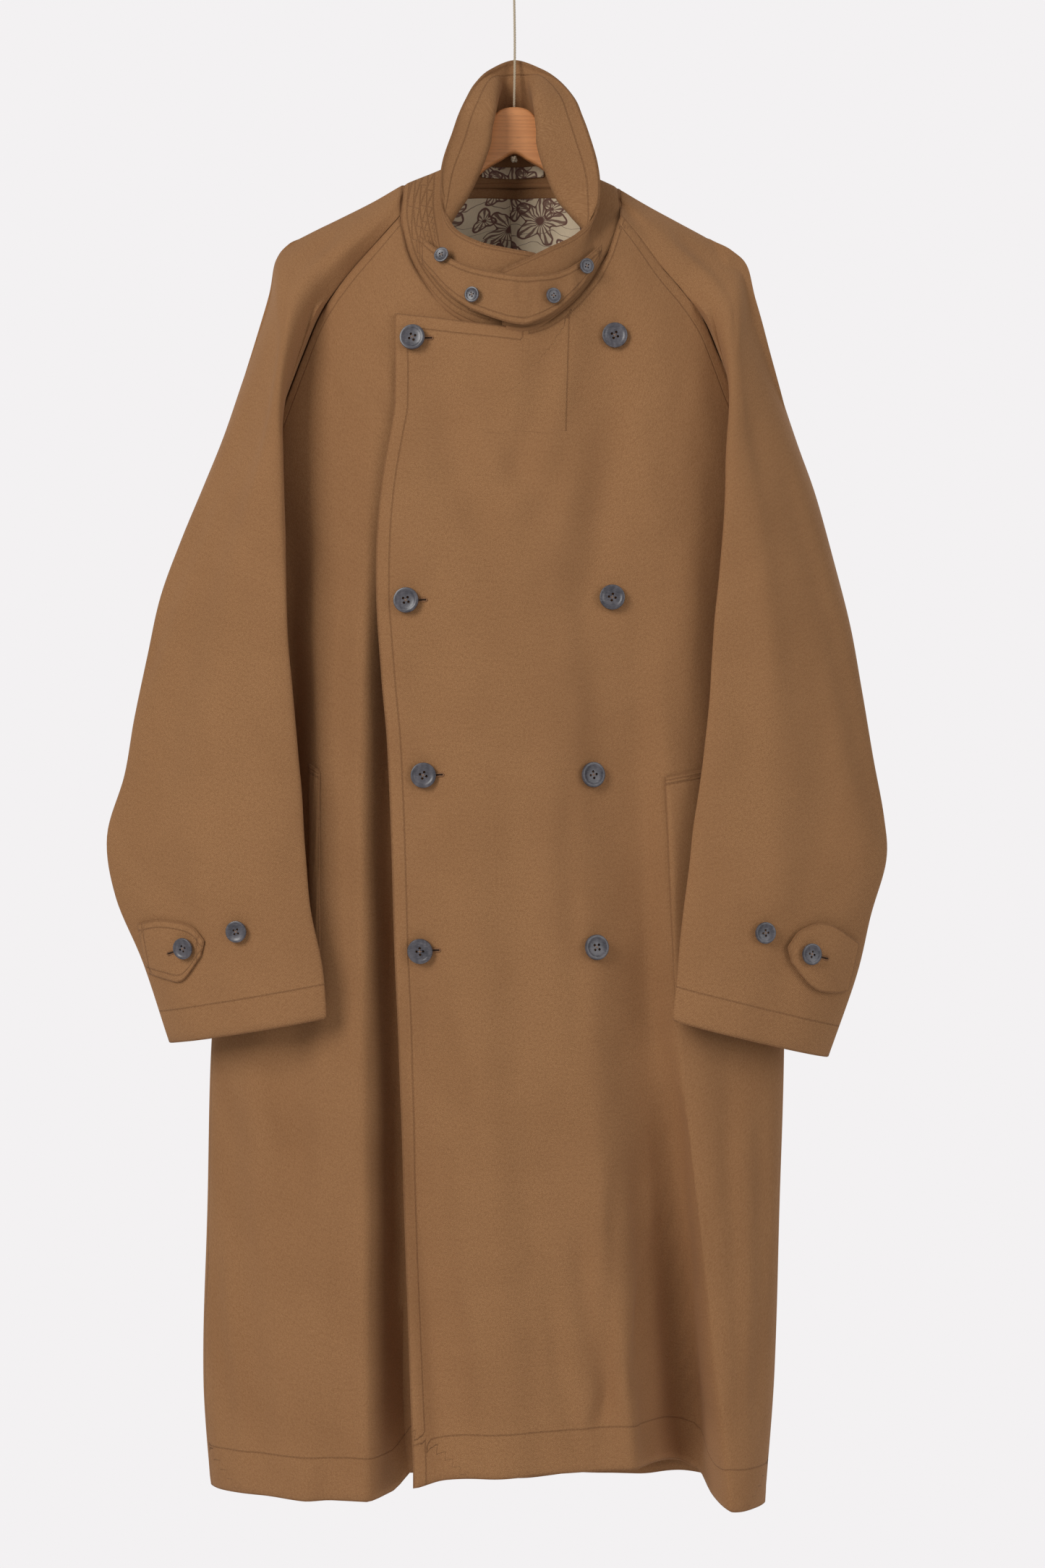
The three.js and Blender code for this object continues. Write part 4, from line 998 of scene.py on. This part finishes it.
# Twine: the route repeats the CAD strand's points
TWINE_WIDTH = 2.5
LOOP_RADIUS, LOOP_TALL = 17.0, 1.1
KNOT = 3.4
KNOT_GAP = 0.3
PLY = {"count": 3, "sides": 7, "offset": 0.26, "radius": 0.25}
STRAND_FOOT = -153.1
STRAND_SWAY = 0.6
LOWER_KNOT = -197.8 - KNOT
loop_height = 2 * (LOOP_RADIUS + TWINE_WIDTH / 2) * LOOP_TALL
knot_z = -loop_height - KNOT_GAP - KNOT
strand_top = knot_z - KNOT - KNOT_GAP
strand_middle = (STRAND_FOOT - KNOT_GAP + knot_z) / 2
strand_route = np.array([(0, 0, STRAND_FOOT), (STRAND_SWAY, 0, strand_middle), (0, 0, strand_top)], float)


def twisted_cord(name, route, closed=False, pitch=7.0):
    """Plies of twine wound round a route of points in mm."""
    axes = cross_axes(route, closed, (0.0, 1.0, 0.0))
    length = np.concatenate([[0], np.cumsum(np.linalg.norm(np.diff(route, axis=0), axis=1))])
    whole = length[-1] + (np.linalg.norm(route[0] - route[-1]) if closed else 0)
    turns = max(round(whole / pitch), 1)
    points, faces = [], []
    for ply in range(PLY["count"]):
        angle = (2 * math.pi * (turns * length / whole + ply / PLY["count"]))[:, None]
        middle = route + (axes[0] * np.cos(angle) + axes[1] * np.sin(angle)) * TWINE_WIDTH * PLY["offset"]
        faces += ring_faces(len(route), PLY["sides"], closed, len(points))
        points += rings_round(middle, axes, TWINE_WIDTH * PLY["radius"], PLY["sides"]).reshape(-1, 3).tolist()
    return smooth_object(name, np.array(points) * MM, faces)


def knot_piece(name, z, node):
    """An overhand knot: a short cord wound round itself."""
    t = np.linspace(0, 2 * math.pi, 60, endpoint=False)
    x = (np.sin(t) + 2 * np.sin(2 * t)) * KNOT * 0.22
    y = (np.cos(t) - 2 * np.cos(2 * t)) * KNOT * 0.22
    route = np.stack([x, y, -np.sin(3 * t) * KNOT * 0.5 + z], 1)
    return dress(twisted_cord(name, route, closed=True, pitch=5.0), twine_fibre, "twine", node)


strand_points = on_curve(strand_route, np.linspace(0, 2, 70))
strand = dress(twisted_cord("twine_strand", strand_points), twine_fibre, "twine", "twine")
angles = np.linspace(0, 2 * math.pi, 72, endpoint=False)
loop_route = np.stack([
    LOOP_RADIUS * np.cos(angles), 0 * angles, LOOP_RADIUS * LOOP_TALL * np.sin(angles) - loop_height / 2,
], 1)
hang_loop = twisted_cord("twine_hang_loop", loop_route, closed=True)
dress(hang_loop, twine_fibre, "twine", "twine_loop")
upper_knot = knot_piece("knot_top", knot_z, "knot_upper")
knot_piece("knot_bottom", LOWER_KNOT, "knot_lower")


# Cloth panels
ROW_DIVISIONS = 8
COLUMNS = {"lap": 130, "under": 110, "back": 161, "sleeve_front": 76, "sleeve_back": 50}
BODY_ROWS = LAST_BODY_ROW * ROW_DIVISIONS + 1
SLEEVE_ROWS = LAST_ROW * ROW_DIVISIONS + 1
SEAM_GAP = 0.4
FLAT_SEAM_ROWS = 4
ARMPIT = ARMPIT_ROW * ROW_DIVISIONS


def share_seam(normals_a, column_a, normals_b, column_b, weight):
    """Turns two panels' inward directions along a seam to their mean, row by row by a weight."""
    count = min(len(normals_a), len(normals_b), len(weight))
    a, b = normals_a[:count, column_a].copy(), normals_b[:count, column_b].copy()
    w = np.asarray(weight)[:count, None]
    mean = a + b
    mean /= np.linalg.norm(mean, axis=1, keepdims=True)
    for normals, column, own in ((normals_a, column_a, a), (normals_b, column_b, b)):
        turned = own * (1 - w) + mean * w
        normals[:count, column] = turned / np.linalg.norm(turned, axis=1, keepdims=True)


def trim(grid, sides):
    """Pulls a grid's first or last column back along the cloth, square to the seam, to leave its gap."""
    for edge, following in (0, 1), (-1, -2):
        if edge not in sides:
            continue
        line = grid[:, edge].copy()
        along = np.gradient(line, axis=0)
        inward = grid[:, following] - line
        length = np.maximum(np.sum(along * along, axis=1, keepdims=True), 1e-9)
        inward -= along * np.sum(inward * along, axis=1, keepdims=True) / length
        inward /= np.maximum(np.linalg.norm(inward, axis=1, keepdims=True), 1e-9)
        grid[:, edge] = line + inward * SEAM_GAP


PRESSED = 1.6
UNDER_START, UNDER_BLEND = 2.0, 16.0


def hidden_press(grid):
    """How far the under front goes back with the lap's creases, where the lap covers it."""
    x, z = grid[:, :, 0], grid[:, :, 2]
    covered = ease((x - lap_edge(z) + UNDER_START) / UNDER_BLEND)
    return crease_depth(LAP_CREASES, x, z) * PRESSED * covered


SEAM_FADE = 34
BROAD_CELL = 70
FINE = {"cell": 26, "across": 1.6, "down": 0.7, "share": 0.35}


def settle(grid, normals, creases, seams, seed, height):
    """Presses creases and the cloth's small unevenness into a panel, fading out at its seams."""
    first, last, top, _ = edge_distances(grid)
    fade = np.ones(first.shape)
    for distance, name in ((first, "first"), (last, "last"), (top, "top")):
        if name in seams:
            fade *= ease(distance / SEAM_FADE)
    x, z = grid[:, :, 0], grid[:, :, 2]
    depth = crease_depth(creases, x, z) * PRESSED if creases else np.zeros(x.shape)
    broad = smooth_noise(x, z, BROAD_CELL, seed) * height
    fine = smooth_noise(x * FINE["across"], z * FINE["down"], FINE["cell"], seed + 1) * height * FINE["share"]
    return grid - normals * ((depth + broad + fine) * fade)[:, :, None]


def uneven(grid, look):
    """The noise of a piece that is drawn in by its stitches."""
    x, z = grid[:, :, 0] * look["across"], grid[:, :, 2] * look["down"]
    return smooth_noise(x, z, look["cell"], look["seed"]) * look["depth"]


def edge_stitches(grid, inset):
    """One stitch line round a piece, at an inset from its edges."""
    first, last, top, bottom = edge_distances(grid)
    lines = [(first - inset, top), (last - inset, top), (top - inset, first), (bottom - inset, first)]
    return nearest_line(lines)


def cloth(name, grid, normals, thick, material, slot_name, nodes, held, rests_on=(), **mesh_options):
    """A panel of cloth: its mesh, material and the CAD nodes it stands for; its slot is not used."""
    piece = dress(wall_mesh(name, grid, normals, thick, **mesh_options), material, slot_name, *nodes)
    return piece


def wool_panel(node, grid, normals, held, stitch, rests_on=()):
    """A single layer of the coat's wool, in the place of one CAD node."""
    return cloth(
        f"coat_{node}", grid, normals, CLOTH, wool, "wool", [node], held, rests_on,
        stitch=stitch, roll=0.5, rim=0.4,
    )


lap_grid = front_grid("left", COLUMNS["lap"], lap_edge, lap_top, lap_hem, lap_y)
under_grid = front_grid("right", COLUMNS["under"], under_edge, under_top, under_hem, under_y)
back_panel = back_grid()
panels = {"left": (lap_grid, grid_normals(lap_grid, -1)), "right": (under_grid, grid_normals(under_grid, 1))}
back_normals = grid_normals(back_panel, 1)
sleeve_sign = {"right": -1, "left": 1}
SLEEVE_SEED = {"right": 41, "left": 51}
sleeve_parts = {}
body_rows = np.arange(BODY_ROWS)
sleeve_rows = np.arange(SLEEVE_ROWS)
above_armpit = (body_rows <= ARMPIT).astype(float)
below_armpit = (body_rows >= ARMPIT).astype(float)
flat_rows = 1 - ease((sleeve_rows - (FLAT_SEAM_ROWS - 2) * ROW_DIVISIONS) / (2 * ROW_DIVISIONS))
for side in ("right", "left"):
    front, front_at, front_place = sleeve_grid(side, OUTER_EDGE, SEAM_PLACE, COLUMNS["sleeve_front"])
    rear, rear_at, rear_place = sleeve_grid(side, 0, OUTER_EDGE, COLUMNS["sleeve_back"])
    front_n = grid_normals(front, sleeve_sign[side])
    rear_n = grid_normals(rear, sleeve_sign[side])
    body_normals = panels[side][1]
    back_column = -1 if side == "left" else 0
    share_seam(front_n, 0, rear_n, -1, np.ones(SLEEVE_ROWS))
    share_seam(front_n, -1, body_normals, -1, flat_rows)
    share_seam(rear_n, 0, back_normals, back_column, above_armpit)
    share_seam(front_n, -1, rear_n, 0, (sleeve_rows >= ARMPIT).astype(float))
    share_seam(body_normals, -1, back_normals, back_column, below_armpit)
    sleeve_parts[side] = [(front, front_n, front_at, front_place), (rear, rear_n, rear_at, rear_place)]


LAP_TOP_END = 8.0
NECK_STITCH = 5.0
DART = {"top": (50.2, -352), "foot": (47.0, -464)}


def body_stitches(grid, seams):
    """Stitch lines of a body panel beside its seams and along its hem."""
    first, last, top, bottom = edge_distances(grid)
    beside = {"first": first, "last": last}
    return [(bottom - HEM_TURN, first)] + [(beside[name] - STITCH_IN, top) for name in seams]


def lap_stitches(grid):
    """The lap's own lines: its free edge, its loose top to a short end, the neck seam and the dart."""
    first, _, top, _ = edge_distances(grid)
    x, z = grid[:, :, 0], grid[:, :, 2]
    loose = x < LAP_TOP_END
    (dart_x, dart_top), (dart_end, dart_foot) = DART["top"], DART["foot"]
    dart = x - (dart_x + (dart_end - dart_x) * (z - dart_top) / (dart_foot - dart_top))
    return [
        (np.where(top > STITCH_IN - 0.5, first - STITCH_IN, NO_STITCH), top),
        (np.where(loose & (first > STITCH_IN - 0.5), top - STITCH_IN, NO_STITCH), first),
        (np.where(top < STITCH_IN + 0.5, x - LAP_TOP_END, NO_STITCH), top),
        (np.where(x > LAP_TOP_END + NECK_STITCH, top - NECK_STITCH, NO_STITCH), first),
        (np.where((z < dart_top) & (z > dart_foot), dart, NO_STITCH), top),
    ]


lap_grid, lap_normals = panels["left"]
under_grid, under_normals = panels["right"]
lap_grid = settle(lap_grid, lap_normals, LAP_CREASES, ("last",), seed=11, height=0.8)
under_grid = settle(under_grid, under_normals, UNDER_CREASES, ("last",), seed=21, height=0.8)
under_grid[:, :, 1] += hidden_press(under_grid)
back_panel = settle(back_panel, back_normals, BACK_CREASES, ("first", "last"), seed=31, height=1.0)
for grid, sides in ((lap_grid, (-1,)), (under_grid, (-1,)), (back_panel, (0, -1))):
    trim(grid, sides)
lap_lines = nearest_line(body_stitches(lap_grid, ("last",)) + lap_stitches(lap_grid))
lap = wool_panel("front_left", lap_grid, lap_normals, "hung", lap_lines)
under_lines = nearest_line(body_stitches(under_grid, ("last",)))
under = wool_panel("front_right", under_grid, under_normals, "hung", under_lines)
back_lines = nearest_line(body_stitches(back_panel, ("first", "last")))
wool_panel("back", back_panel, back_normals, "hung", back_lines)
sleeve_pieces = {}
for side, halves in sleeve_parts.items():
    for half, (grid, normals, at, place) in zip(("front", "back"), halves):
        if half == "front":
            grid = press_sleeve(side, grid, at, place, normals)
        grid = settle(grid, normals, [], ("first", "last", "top"), seed=SLEEVE_SEED[side], height=0.9)
        trim(grid, (0, -1))
        first, _, _, bottom = edge_distances(grid)
        cuff_line = (bottom - CUFF_TURN, first)
        sleeve_pieces[side, half] = wool_panel(f"sleeve_{side}_{half}", grid, normals, "hung", cuff_line)

# Collar and throat latch, with the turned-in cloth of the neck seam
NECK_SEAM = {"inside": 3.2, "below": 1.6, "radius": 3.0}
EDGE_STITCH, LATCH_STITCH = 2.7, 5
COLLAR_GRID, LATCH_GRID = (260, 48), (110, 26)
PUCKERS = {"across": 2.4, "down": 0.8, "cell": 20, "seed": 61, "depth": 0.9, "fade": 6}
STAND_STITCHES = {"first": 6.0, "step": 6.4, "rows": 5, "until": -20}
collar_rows = np.array(COLLAR, float)[:, :, [0, 2, 1]]
collar_control = on_curve(collar_rows, np.linspace(0, len(COLLAR) - 1, COLLAR_GRID[0]))
collar_grid = on_curve(collar_control.transpose(1, 0, 2), np.linspace(0, 2, COLLAR_GRID[1]))
collar_normals = grid_normals(collar_grid, -1)
first, last, foot, edge = edge_distances(collar_grid)
viewer_left = collar_grid[:, :, 0] < STAND_STITCHES["until"]
stand_lines = [
    (np.where(viewer_left, foot - STAND_STITCHES["first"] - STAND_STITCHES["step"] * k, NO_STITCH), first)
    for k in range(STAND_STITCHES["rows"])
]
inner_lines = [(edge - STITCH_IN, first), (first - STITCH_IN, foot), (last - STITCH_IN, foot)]
collar = cloth(
    "coat_collar", collar_grid, collar_normals, DOUBLE_CLOTH, wool_collar, "wool", ["collar"], "folded",
    roll=0.9, rim=0.45, stitch=nearest_line([(edge - EDGE_STITCH, first)] + stand_lines),
    inner_stitch=nearest_line(inner_lines),
)
below_foot = collar_grid[0] - collar_grid[1]
below_foot /= np.linalg.norm(below_foot, axis=1, keepdims=True)
seam_line = collar_grid[0] - collar_normals[0] * NECK_SEAM["inside"] + below_foot * NECK_SEAM["below"]
dress(tube("coat_neck_seam", seam_line[::2], NECK_SEAM["radius"]), seam_wool, "wool")
latch_at = on_curve(LATCH, np.linspace(0, len(LATCH) - 1, LATCH_GRID[0]))
down = np.linspace(0, 1, LATCH_GRID[1])[:, None]
latch_grid = np.stack([
    latch_at[:, 0] + 0 * down, latch_at[:, 1] + 0 * down,
    latch_at[:, 2] + (latch_at[:, 3] - latch_at[:, 2]) * down,
], axis=2)
_, _, top, bottom = edge_distances(latch_grid)
puckers = uneven(latch_grid, PUCKERS)
latch_grid[:, :, 1] -= puckers * ease(top / PUCKERS["fade"]) * ease(bottom / PUCKERS["fade"])
latch = cloth(
    "coat_throat_latch", latch_grid, grid_normals(latch_grid, -1), DOUBLE_CLOTH / 2, wool_collar, "wool",
    ["throat_latch"], "laid", rests_on=[lap], roll=0.5, rim=0.45,
    stitch=edge_stitches(latch_grid, LATCH_STITCH),
)


# Pieces laid on the panels
FAR_IN_FRONT = -0.4


def surface_of(piece):
    points = [v.co.copy() for v in piece.data.vertices]
    return BVHTree.FromPolygons(points, [list(p.vertices) for p in piece.data.polygons])


def on_cloth(tree, x, z, start=FAR_IN_FRONT):
    """Where a line straight back from the front meets the cloth, and the cloth's outward direction there."""
    point, normal, _, _ = tree.ray_cast(Vector((x * MM, start, z * MM)), Vector((0, 1, 0)))
    if point is None:
        raise ValueError(f"no cloth at {x}, {z}")
    return point, normal if normal.y < 0 else -normal


def patch_grid(tree, upper, lower, columns, rows, lift, start=FAR_IN_FRONT):
    high = on_curve(np.array(upper, float), spread(columns) * (len(upper) - 1))
    low = on_curve(np.array(lower, float), spread(columns) * (len(lower) - 1))
    flat = high[None] + (low - high)[None] * spread(rows)[:, None, None]
    grid = np.empty((rows, columns, 3))
    for j in range(rows):
        for i in range(columns):
            x, z = flat[j, i]
            grid[j, i] = (x, on_cloth(tree, x, z, start)[0].y / MM - lift, z)
    return grid


STRAP_LIFT, STRAP_STITCH = CLOTH + 1.7, 6
WELT_LIFT, WELT_STITCHES = CLOTH + 1.5, (3, 7)
STRAPS = {
    "right": ([(-344, -908), (-320, -904), (-293, -908.6), (-280, -921)],
              [(-336, -953), (-318, -957), (-301, -957.4), (-283, -935)]),
    "left": ([(313, -925), (282, -906.7), (258, -912), (246, -926)],
             [(303, -968), (285, -968), (268, -961.9), (249, -940)]),
}
WELTS = {
    "left": ([(136, -774), (174, -767)], [(145.7, -993), (182, -1000)]),
    "right": ([(-187, -762), (-177, -768)], [(-187, -984), (-176, -990)]),
}
trees = {"lap": surface_of(lap), "under": surface_of(under), "latch": surface_of(latch)}
for side in ("right", "left"):
    trees[f"sleeve_{side}"] = surface_of(sleeve_pieces[side, "front"])
for side, (upper, lower) in STRAPS.items():
    grid = patch_grid(trees[f"sleeve_{side}"], upper, lower, 60, 34, STRAP_LIFT)
    trees[f"strap_{side}"] = surface_of(wool_panel(
        f"cuff_strap_{side}", grid, grid_normals(grid, -1), "laid", edge_stitches(grid, STRAP_STITCH),
        [sleeve_pieces[side, "front"]],
    ))
for side, (upper, lower) in WELTS.items():
    panel, tree = (lap, trees["lap"]) if side == "left" else (under, trees["under"])
    grid = patch_grid(tree, upper, lower, 16, 120, WELT_LIFT)
    first, _, top, bottom = edge_distances(grid)
    lines = nearest_line([(edge - inset, first) for edge in (top, bottom) for inset in WELT_STITCHES])
    wool_panel(f"pocket_welt_{side}", grid, grid_normals(grid, -1), "laid", lines, [panel])

# Lining
LINING = 1.2
LINING_GAP = 0.8
COLUMN_SHARE = 8
FACING_ROWS, LINING_ROWS = np.linspace(0.12, 0.5, 8), np.linspace(0.52, 24, 190)
RIPPLES = {"across": 1.5, "down": 0.5, "cell": 40, "seed": 71, "depth": 2.5, "fade": 20}
inside = back_panel - back_normals * (CLOTH + LINING_GAP)


def inside_rows(at, first_column, last_column):
    """Rows of the back's inside at fractional rows, between two columns given as twentieths of its width."""
    columns = slice(first_column * COLUMN_SHARE, last_column * COLUMN_SHARE + 1)
    place = np.asarray(at, float) * ROW_DIVISIONS
    j = np.minimum(np.floor(place).astype(int), BODY_ROWS - 2)
    t = (place - j)[:, None, None]
    return inside[j][:, columns] * (1 - t) + inside[j + 1][:, columns] * t


for name, at, columns, material, slot_name in (
    ("neck_facing", FACING_ROWS, (4, 16), wool_collar, "wool"),
    ("lining_right", LINING_ROWS, (4, 10), lining_cloth, "lining"),
    ("lining_left", LINING_ROWS, (10, 16), lining_cloth, "lining"),
):
    grid = inside_rows(at, *columns)
    normals = grid_normals(grid, 1)
    if slot_name == "lining":
        first, last, top, _ = edge_distances(grid)
        ripple = np.abs(uneven(grid, RIPPLES))
        for distance in (first, last, top):
            ripple = ripple * ease(distance / RIPPLES["fade"])
        grid = grid - normals * ripple[:, :, None]
    trim(grid, (0, -1))
    cloth(f"coat_{name}", grid, normals, LINING, material, slot_name, [name], "hung", rim=0.3)
LOOP_TOP = [(-29.8, -204.5), (0, -205.5), (27, -204)]
LOOP_FOOT = [(-29.8, -214), (0, -215), (27, -213.5)]
LOOP_LIFT, INSIDE_NECK = 2.2, 0.006
loop_grid = patch_grid(surface_of(collar), LOOP_TOP, LOOP_FOOT, 40, 12, LOOP_LIFT, start=INSIDE_NECK)
cloth(
    "coat_neck_loop", loop_grid, grid_normals(loop_grid, -1), LINING, lining_cloth, "lining", [], "stretched",
    rests_on=[collar], rim=0.4,
)


# Buttons
SHANK = 2.4
BUTTON_GAP = 0.35
HOLE_RADIUS, HOLE_SPACING, DRILL_LONG = 0.052, 0.09, 9
MAIN, SMALL, CUFF = 23.0, 14.0, 19.5
BUTTONS = [
    ("button_row1_outer", MAIN, "lap", 91, -374.8, 20), ("button_row1_lap", MAIN, "lap", -91, -378, 70),
    ("button_row2_outer", MAIN, "lap", 88.4, -612, 35), ("button_row2_lap", MAIN, "lap", -96.2, -614.9, 10),
    ("button_row3_outer", MAIN, "lap", 69.6, -771.5, 55), ("button_row3_lap", MAIN, "lap", -81.3, -772.1, 28),
    ("button_row4_outer", MAIN, "lap", 72.8, -927, 5), ("button_row4_lap", MAIN, "lap", -83.9, -929.4, 48),
    ("latch_button_1", SMALL, "latch", -64, -304, 15), ("latch_button_2", SMALL, "latch", -36.3, -340.9, 60),
    ("latch_button_3", SMALL, "latch", 34.1, -342.8, 40), ("latch_button_4", SMALL, "latch", 64, -314, 80),
    ("cuff_button_right_strap", CUFF, "strap_right", -297, -928, 65),
    ("cuff_button_right_spare", CUFF, "sleeve_right", -247.8, -912, 12),
    ("cuff_button_left_strap", CUFF, "strap_left", 266.4, -933, 30),
    ("cuff_button_left_spare", CUFF, "sleeve_left", 224.3, -913.3, 50),
]
PROFILE = [
    (0.0, 0.0), (0.80, 0.0), (0.94, 0.12), (1.0, 0.4), (1.0, 0.7), (0.97, 0.92), (0.90, 1.0), (0.78, 0.97),
    (0.70, 0.86), (0.62, 0.76), (0.30, 0.74), (0.0, 0.74),
]
DISC_THICK = 0.15
DISC_FACE = 0.74
DISC_SIDES, HOLE_SIDES = 64, 16
CORNERS = ((-1, -1), (1, -1), (1, 1), (-1, 1))
THREAD = {"points": 17, "radius": 0.26, "reach": 0.72, "depth": 1.2, "arch": 1.4, "crossing": 0.12}
SHANK_FOOT, SHANK_WAIST = 1.5, 1.3


def lathe(name, profile, sides):
    """A turned piece about its own z axis; the profile runs from its foot to its middle top."""
    points, faces = [], []
    rings = []
    for radius, height in profile:
        if radius == 0:
            rings.append([len(points)])
            points.append((0, 0, height))
            continue
        rings.append(list(range(len(points), len(points) + sides)))
        for k in range(sides):
            angle = 2 * math.pi * k / sides
            points.append((radius * math.cos(angle), radius * math.sin(angle), height))
    for low, high in zip(rings, rings[1:]):
        for k in range(sides):
            m = k + 1
            corners = [low[k % len(low)], low[m % len(low)], high[m % len(high)], high[k % len(high)]]
            faces.append([c for i, c in enumerate(corners) if c not in corners[:i]])
    return smooth_object(name, points, faces)


def joined(name, *pieces):
    """One object from several."""
    graph = bpy.context.evaluated_depsgraph_get()
    combined = bmesh.new()
    for piece in pieces:
        mesh = bpy.data.meshes.new_from_object(piece.evaluated_get(graph))
        mesh.transform(piece.matrix_world)
        combined.from_mesh(mesh)
    mesh = bpy.data.meshes.new(name)
    combined.to_mesh(mesh)
    combined.free()
    for piece in pieces:
        bpy.data.objects.remove(piece)
    return add_object(name, mesh)


def button_at(name, width, tree, x, z, turn):
    """A button with its four holes, and the thread that crosses in them and holds it off the cloth."""
    point, outward = on_cloth(trees[tree], x, z)
    radius, thick, hole, aside = width / 2, width * DISC_THICK, width * HOLE_RADIUS, width * HOLE_SPACING
    disc = lathe(name + "_disc", [(r * radius, SHANK + h * thick) for r, h in PROFILE], DISC_SIDES)
    cutters = []
    for sx, sy in CORNERS:
        cutter = lathe("hole", [(0, 0), (hole, 0), (hole, DRILL_LONG), (0, DRILL_LONG)], HOLE_SIDES)
        cutter.location = (sx * aside, sy * aside, 0)
        cutters.append(cutter)
    bpy.context.view_layer.update()
    drill = joined("drill", *cutters)
    cut = disc.modifiers.new("holes", "BOOLEAN")
    cut.operation, cut.solver, cut.object = "DIFFERENCE", "EXACT", drill
    bpy.context.view_layer.update()
    drilled = joined(name + "_drilled", disc)
    bpy.data.objects.remove(drill)
    drilled.data.polygons.foreach_set("use_smooth", [True] * len(drilled.data.polygons))
    drilled.data.set_sharp_from_angle(angle=math.radians(BUTTON_SHARP))
    low = SHANK + thick * DISC_FACE - THREAD["depth"]
    bars = []
    t = np.linspace(0, 1, THREAD["points"])[:, None]
    for rise, over in ((1, 0), (-1, THREAD["crossing"])):
        start = np.array((-1, -rise)) * aside * THREAD["reach"]
        arch = low + (THREAD["arch"] + over) * np.sin(np.pi * t) ** 0.5
        bars.append(tube("bar", np.hstack([start - 2 * start * t, arch]), THREAD["radius"], unit=1.0))
    top = SHANK + 0.2
    outline = [(0, 0), (SHANK_FOOT, 0), (SHANK_WAIST, SHANK / 2), (SHANK_FOOT, top), (0, top)]
    shank = lathe("shank", outline, HOLE_SIDES)
    bpy.context.view_layer.update()
    sewn = joined(name + "_thread", shank, *bars)
    place = Vector(point) + outward * BUTTON_GAP * MM
    facing = outward.to_track_quat("Z", "Y").to_matrix().to_4x4()
    turned = facing @ Matrix.Rotation(math.radians(turn), 4, "Z")
    pose = Matrix.Translation(place) @ turned @ Matrix.Scale(MM, 4)
    for piece in (drilled, sewn):
        piece.data.transform(pose)
    dress(drilled, horn, "button", name)
    drilled.name = "coat_" + name
    attach(sewn, thread)


for button in BUTTONS:
    button_at(*button)

# Buttonholes, running from under a button to where they show beside it
BUTTONHOLES = [
    ("lap", -91, -378, -73, -378), ("lap", -96.2, -614.9, -78, -614.5), ("lap", -81.3, -772.1, -63, -771.5),
    ("lap", -83.9, -929.4, -66, -929), ("strap_right", -297, -928, -314, -934),
    ("strap_left", 266.4, -933, 284, -938),
]


HOLE_HALF = 1.3
HOLE_THREAD = {"points": 64, "radius": 0.6, "lift": 0.4}
SLIT_SHADE = {"points": 13, "radius": 0.5, "lift": 0.15, "ends": 0.06}


def lifted(tree, x, z, lift):
    """A point in mm at a lift off the cloth."""
    point, outward = on_cloth(trees[tree], x, z)
    return (Vector(point) + outward * lift * MM) / MM


def buttonhole(number, tree, x, z, end_x, end_z):
    """A buttonhole's thread, run round its rim, and a thin dark tube along the slit within it, painted as the
    shade in the cut.
    """
    run_x, run_z = end_x - x, end_z - z
    length = math.hypot(run_x, run_z)
    ux, uz = run_x / length, run_z / length
    outline = []
    for angle in np.arange(HOLE_THREAD["points"]) * 2 * math.pi / HOLE_THREAD["points"]:
        turn, aside = math.cos(angle), HOLE_HALF * math.sin(angle)
        along = length / 2 + math.copysign(length / 2 - HOLE_HALF, turn) + HOLE_HALF * turn
        px, pz = x + ux * along - uz * aside, z + uz * along + ux * aside
        outline.append(lifted(tree, px, pz, HOLE_THREAD["lift"]))
    attach(tube(f"buttonhole_{number}_thread", outline, HOLE_THREAD["radius"], closed=True), hole_thread)
    # the slit's shade is painted on a thin dark tube just off the cloth
    shares = np.linspace(SLIT_SHADE["ends"], 1 - SLIT_SHADE["ends"], SLIT_SHADE["points"])
    middle = [lifted(tree, x + run_x * share, z + run_z * share, SLIT_SHADE["lift"]) for share in shares]
    attach(tube(f"buttonhole_{number}_slit", middle, SLIT_SHADE["radius"]), slit_shade)


for number, spec in enumerate(BUTTONHOLES, 1):
    buttonhole(number, *spec)

# Hanger
HANGER_THICK, HANGER_BEVEL, HANGER_UNDER, HANGER_TIP, HANGER_REACH = 11.0, 3.8, 10.5, 22.0, 0.97
HANGER_MIDDLE = [
    (0, -153.4, -196.3), (13, -156, -203), (22, -166, -208), (29, -183, -213), (42, -203, -225),
    (60, -219.5, -239), (80, -234, -253),
]


def hanger_arm(side, sign):
    arm = [(sign * x, top, foot) for x, top, foot in HANGER_MIDDLE]
    for top, *_ in SLEEVES[side][:5]:
        arm.append((top[0] * HANGER_REACH, top[1] - HANGER_UNDER, top[1] - HANGER_UNDER - HANGER_TIP))
    return arm


hanger_line = np.array(hanger_arm("right", -1)[:0:-1] + hanger_arm("left", 1), float)
STATIONS, ROUND_SIDES = 240, 40
TIP_ROUND = 0.45
stations = on_curve(hanger_line, np.linspace(0, len(hanger_line) - 1, STATIONS))
points = []
for x, top, foot in stations:
    from_end = min(abs(x - stations[0][0]), abs(stations[-1][0] - x))
    tip = math.sqrt(max(1 - (1 - min(from_end / HANGER_BEVEL, 1)) ** 2, 0.0)) * TIP_ROUND + 1 - TIP_ROUND
    half_height, half_thick = (top - foot) / 2 * tip, HANGER_THICK / 2 * tip
    corner = min(HANGER_BEVEL, half_height, half_thick)
    for k in range(ROUND_SIDES):
        angle = 2 * math.pi * (k + 0.5) / ROUND_SIDES
        c, s = math.cos(angle), math.sin(angle)
        points.append((
            x, math.copysign(half_thick - corner, c) + corner * c,
            (top + foot) / 2 + math.copysign(half_height - corner, s) + corner * s,
        ))
faces = [face[:1] + face[:0:-1] for face in ring_faces(len(stations), ROUND_SIDES)]
hanger = smooth_object("hanger_board", np.array(points) * MM, faces, HANGER_SHARP)
dress(hanger, wood, "wood", "hanger")
